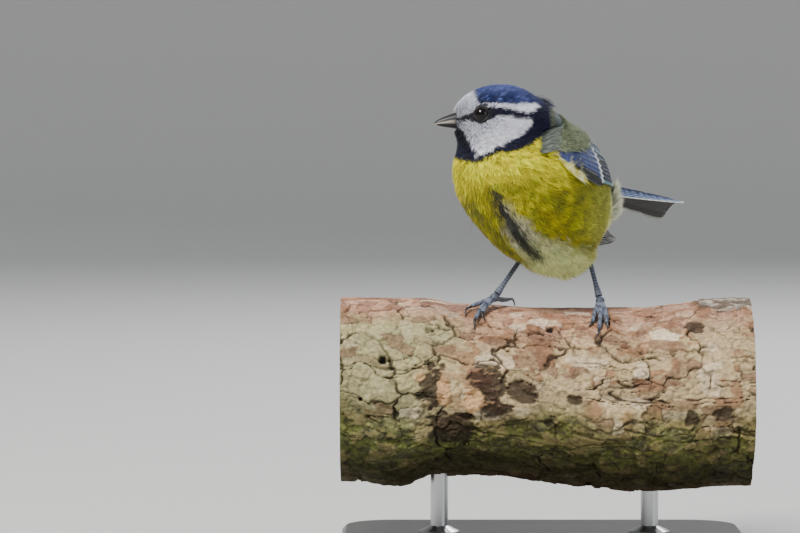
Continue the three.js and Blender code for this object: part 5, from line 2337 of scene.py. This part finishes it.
@dataclass
class Stand:
    """The plain display stand: a lacquered wooden base and two steel rods."""

    def build(self) -> list[bpy.types.Object]:
        """Dresses copies of the stand's solids.

        Returns:
            The stand's pieces.
        """
        wood = Finish(
            "stand lacquer", base=(0.035, 0.03, 0.028), roughness=0.3, specular=0.5, coat=0.3, grain=0.05,
            grain_size=300
        )
        steel = Finish("steel", base=(0.55, 0.56, 0.57), roughness=0.28, metallic=1.0)
        wood_material, steel_material = wood.material(), steel.material()
        made = []
        for node, finish, slot in (
            ("stand_base", wood_material, "base"),
            ("stand_rod_1", steel_material, "rod"),
            ("stand_rod_2", steel_material, "rod"),
        ):
            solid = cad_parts[node]
            copy = bpy.data.objects.new(f"{node}_dress", solid.data.copy())
            bpy.context.scene.collection.objects.link(copy)
            copy.matrix_world = solid.matrix_world.copy()
            mesh = copy.data
            places = mesh_places(mesh)
            low, high = places.min(0), places.max(0)
            spread = (places - low) / (high - low)
            maps = np.stack(
                [spread[:, 0] * 0.6 + spread[:, 2] * 0.35, spread[:, 1] * 0.6 + spread[:, 2] * 0.35], 1
            )
            set_map(mesh, maps)
            mesh.materials.clear()
            mesh.materials.append(finish)
            mesh.polygons.foreach_set("use_smooth", np.zeros(len(mesh.polygons), bool))
            if finish is steel_material:
                mesh.shade_smooth()
                mesh.set_sharp_from_angle(angle=math.radians(35))
            placed(copy, slot, node)
            made.append(copy)
        return made


@dataclass(frozen=True)
class Studio:
    """The camera, the pale floor and the soft lamps."""

    target: tuple[float, float, float] = (-42.6, 0, 87.9)
    distance: float = 1200
    raised: float = 3.0
    lens: float = 183.6

    def camera(self) -> None:
        """Sets the camera of the photo's view."""
        data = bpy.data.cameras.new("camera")
        data.lens = self.lens
        data.sensor_width = 36
        data.sensor_fit = "HORIZONTAL"
        data.clip_end = 20
        data.dof.use_dof = False
        camera = bpy.data.objects.new("camera", data)
        bpy.context.scene.collection.objects.link(camera)
        angle = math.radians(self.raised)
        target = np.array(self.target) * MM
        camera.location = target + self.distance * MM * np.array([0, -math.cos(angle), math.sin(angle)])
        camera.rotation_euler = (math.pi / 2 - angle, 0, 0)
        bpy.context.scene.camera = camera

    def floor(self) -> None:
        """Lays the pale floor, which curves up all round into a wall."""
        reach = [0.0, 0.8, 1.8, 2.1, 2.35, 2.55, 2.68, 2.74, 2.76]
        rise = [0.0, 0.0, 0.0, 0.03, 0.12, 0.3, 0.55, 0.85, 2.6]
        around = np.linspace(0, 2 * math.pi, FLOOR_SIDES, endpoint=False)
        rings = [[(r * math.cos(a), r * math.sin(a), z) for a in around] for r, z in zip(reach[1:], rise[1:])]
        corners = [(0.0, 0.0, 0.0)] + [corner for ring in rings for corner in ring]
        faces: list[tuple[int, ...]] = [(0, 1 + i, 1 + (i + 1) % FLOOR_SIDES) for i in range(FLOOR_SIDES)]
        for row in range(len(rings) - 1):
            for i in range(FLOOR_SIDES):
                low, high, after = 1 + row * FLOOR_SIDES, 1 + (row + 1) * FLOOR_SIDES, (i + 1) % FLOOR_SIDES
                faces.append((low + i, high + i, high + after, low + after))
        mesh = bpy.data.meshes.new("floor")
        mesh.from_pydata(corners, [], faces)
        mesh.polygons.foreach_set("use_smooth", np.ones(len(mesh.polygons), bool))
        mesh.materials.append(Finish("floor", base=(0.6, 0.6, 0.585), roughness=0.9, specular=0.1).material())
        floor = bpy.data.objects.new("floor", mesh)
        bpy.context.scene.collection.objects.link(floor)

    def lamp(self, name: str, place: tuple, power: float, size: float, tone: tuple) -> None:
        """Adds one soft square lamp that faces the model.

        Args:
            name: The lamp's name.
            place: Where it hangs, in metres.
            power: Its power in watts.
            size: The length of its side, in metres.
            tone: Its colour.
        """
        data = bpy.data.lights.new(name, "AREA")
        data.energy = power
        data.size = size
        data.color = tone
        lamp = bpy.data.objects.new(name, data)
        bpy.context.scene.collection.objects.link(lamp)
        lamp.location = place
        aim = np.array([0, 0, 0.1]) - np.array(place)
        flat = math.hypot(aim[0], aim[1])
        lamp.rotation_euler = (math.pi / 2 + math.atan2(aim[2], flat), 0, math.atan2(-aim[0], aim[1]))

    def build(self) -> None:
        """Builds the studio."""
        self.camera()
        self.floor()
        world = bpy.data.worlds.new("studio")
        world.use_nodes = True
        world.node_tree.nodes["Background"].inputs["Color"].default_value = (0.86, 0.9, 1.0, 1)
        world.node_tree.nodes["Background"].inputs["Strength"].default_value = 0.42
        bpy.context.scene.world = world
        self.lamp("key", (-0.55, -0.75, 1.15), 30, 0.42, (1.0, 0.975, 0.94))
        self.lamp("fill", (1.0, -0.8, 0.5), 4, 0.9, (0.9, 0.95, 1.0))
        self.lamp("rear", (0.35, 0.95, 0.95), 12, 0.6, (0.96, 0.98, 1.0))


LEFT_WING = Wing(
    1,
    ((13, 14.5, 8), (9, 16, 4), (4, 18.3, 1), (-4, 18, -1), (-16, 15.5, 1), (-29, 7, 5), (-42, -2, 9.5)),
    ((7, 9, 14), (4, 8, 15), (0, 7, 16), (-7, 5.8, 16), (-16, 4, 14.5), (-29, 0.5, 12), (-42, -2.8, 11)),
)
RIGHT_WING = Wing(
    -1,
    (
        (13, -14.5, 8), (9, -16, 4), (4, -18.3, 1), (-4, -18, -1), (-17, -16, -1.5), (-36, -13.5, -2.5),
        (-55, -9, -2.5)
    ),
    ((7, -9, 14), (4, -8, 15), (0, -7, 16), (-7, -7, 15), (-18, -8, 11), (-36, -8.5, 5), (-55, -8.5, -0.6)),
)


def main() -> None:
    """Builds the model and its studio in order."""
    logging.basicConfig(level=logging.INFO, format="%(name)s %(message)s")
    Studio().build()
    Stand().build()
    Log().build()
    Legs().build()
    Skin().build()
    Eye(1).build()
    Eye(-1).build()
    Bill().build()
    Tail().build()
    RIGHT_WING.build()
    LEFT_WING.build()
    Coat().build()
    SoftTufts().build()


if __name__ == "__main__":
    main()
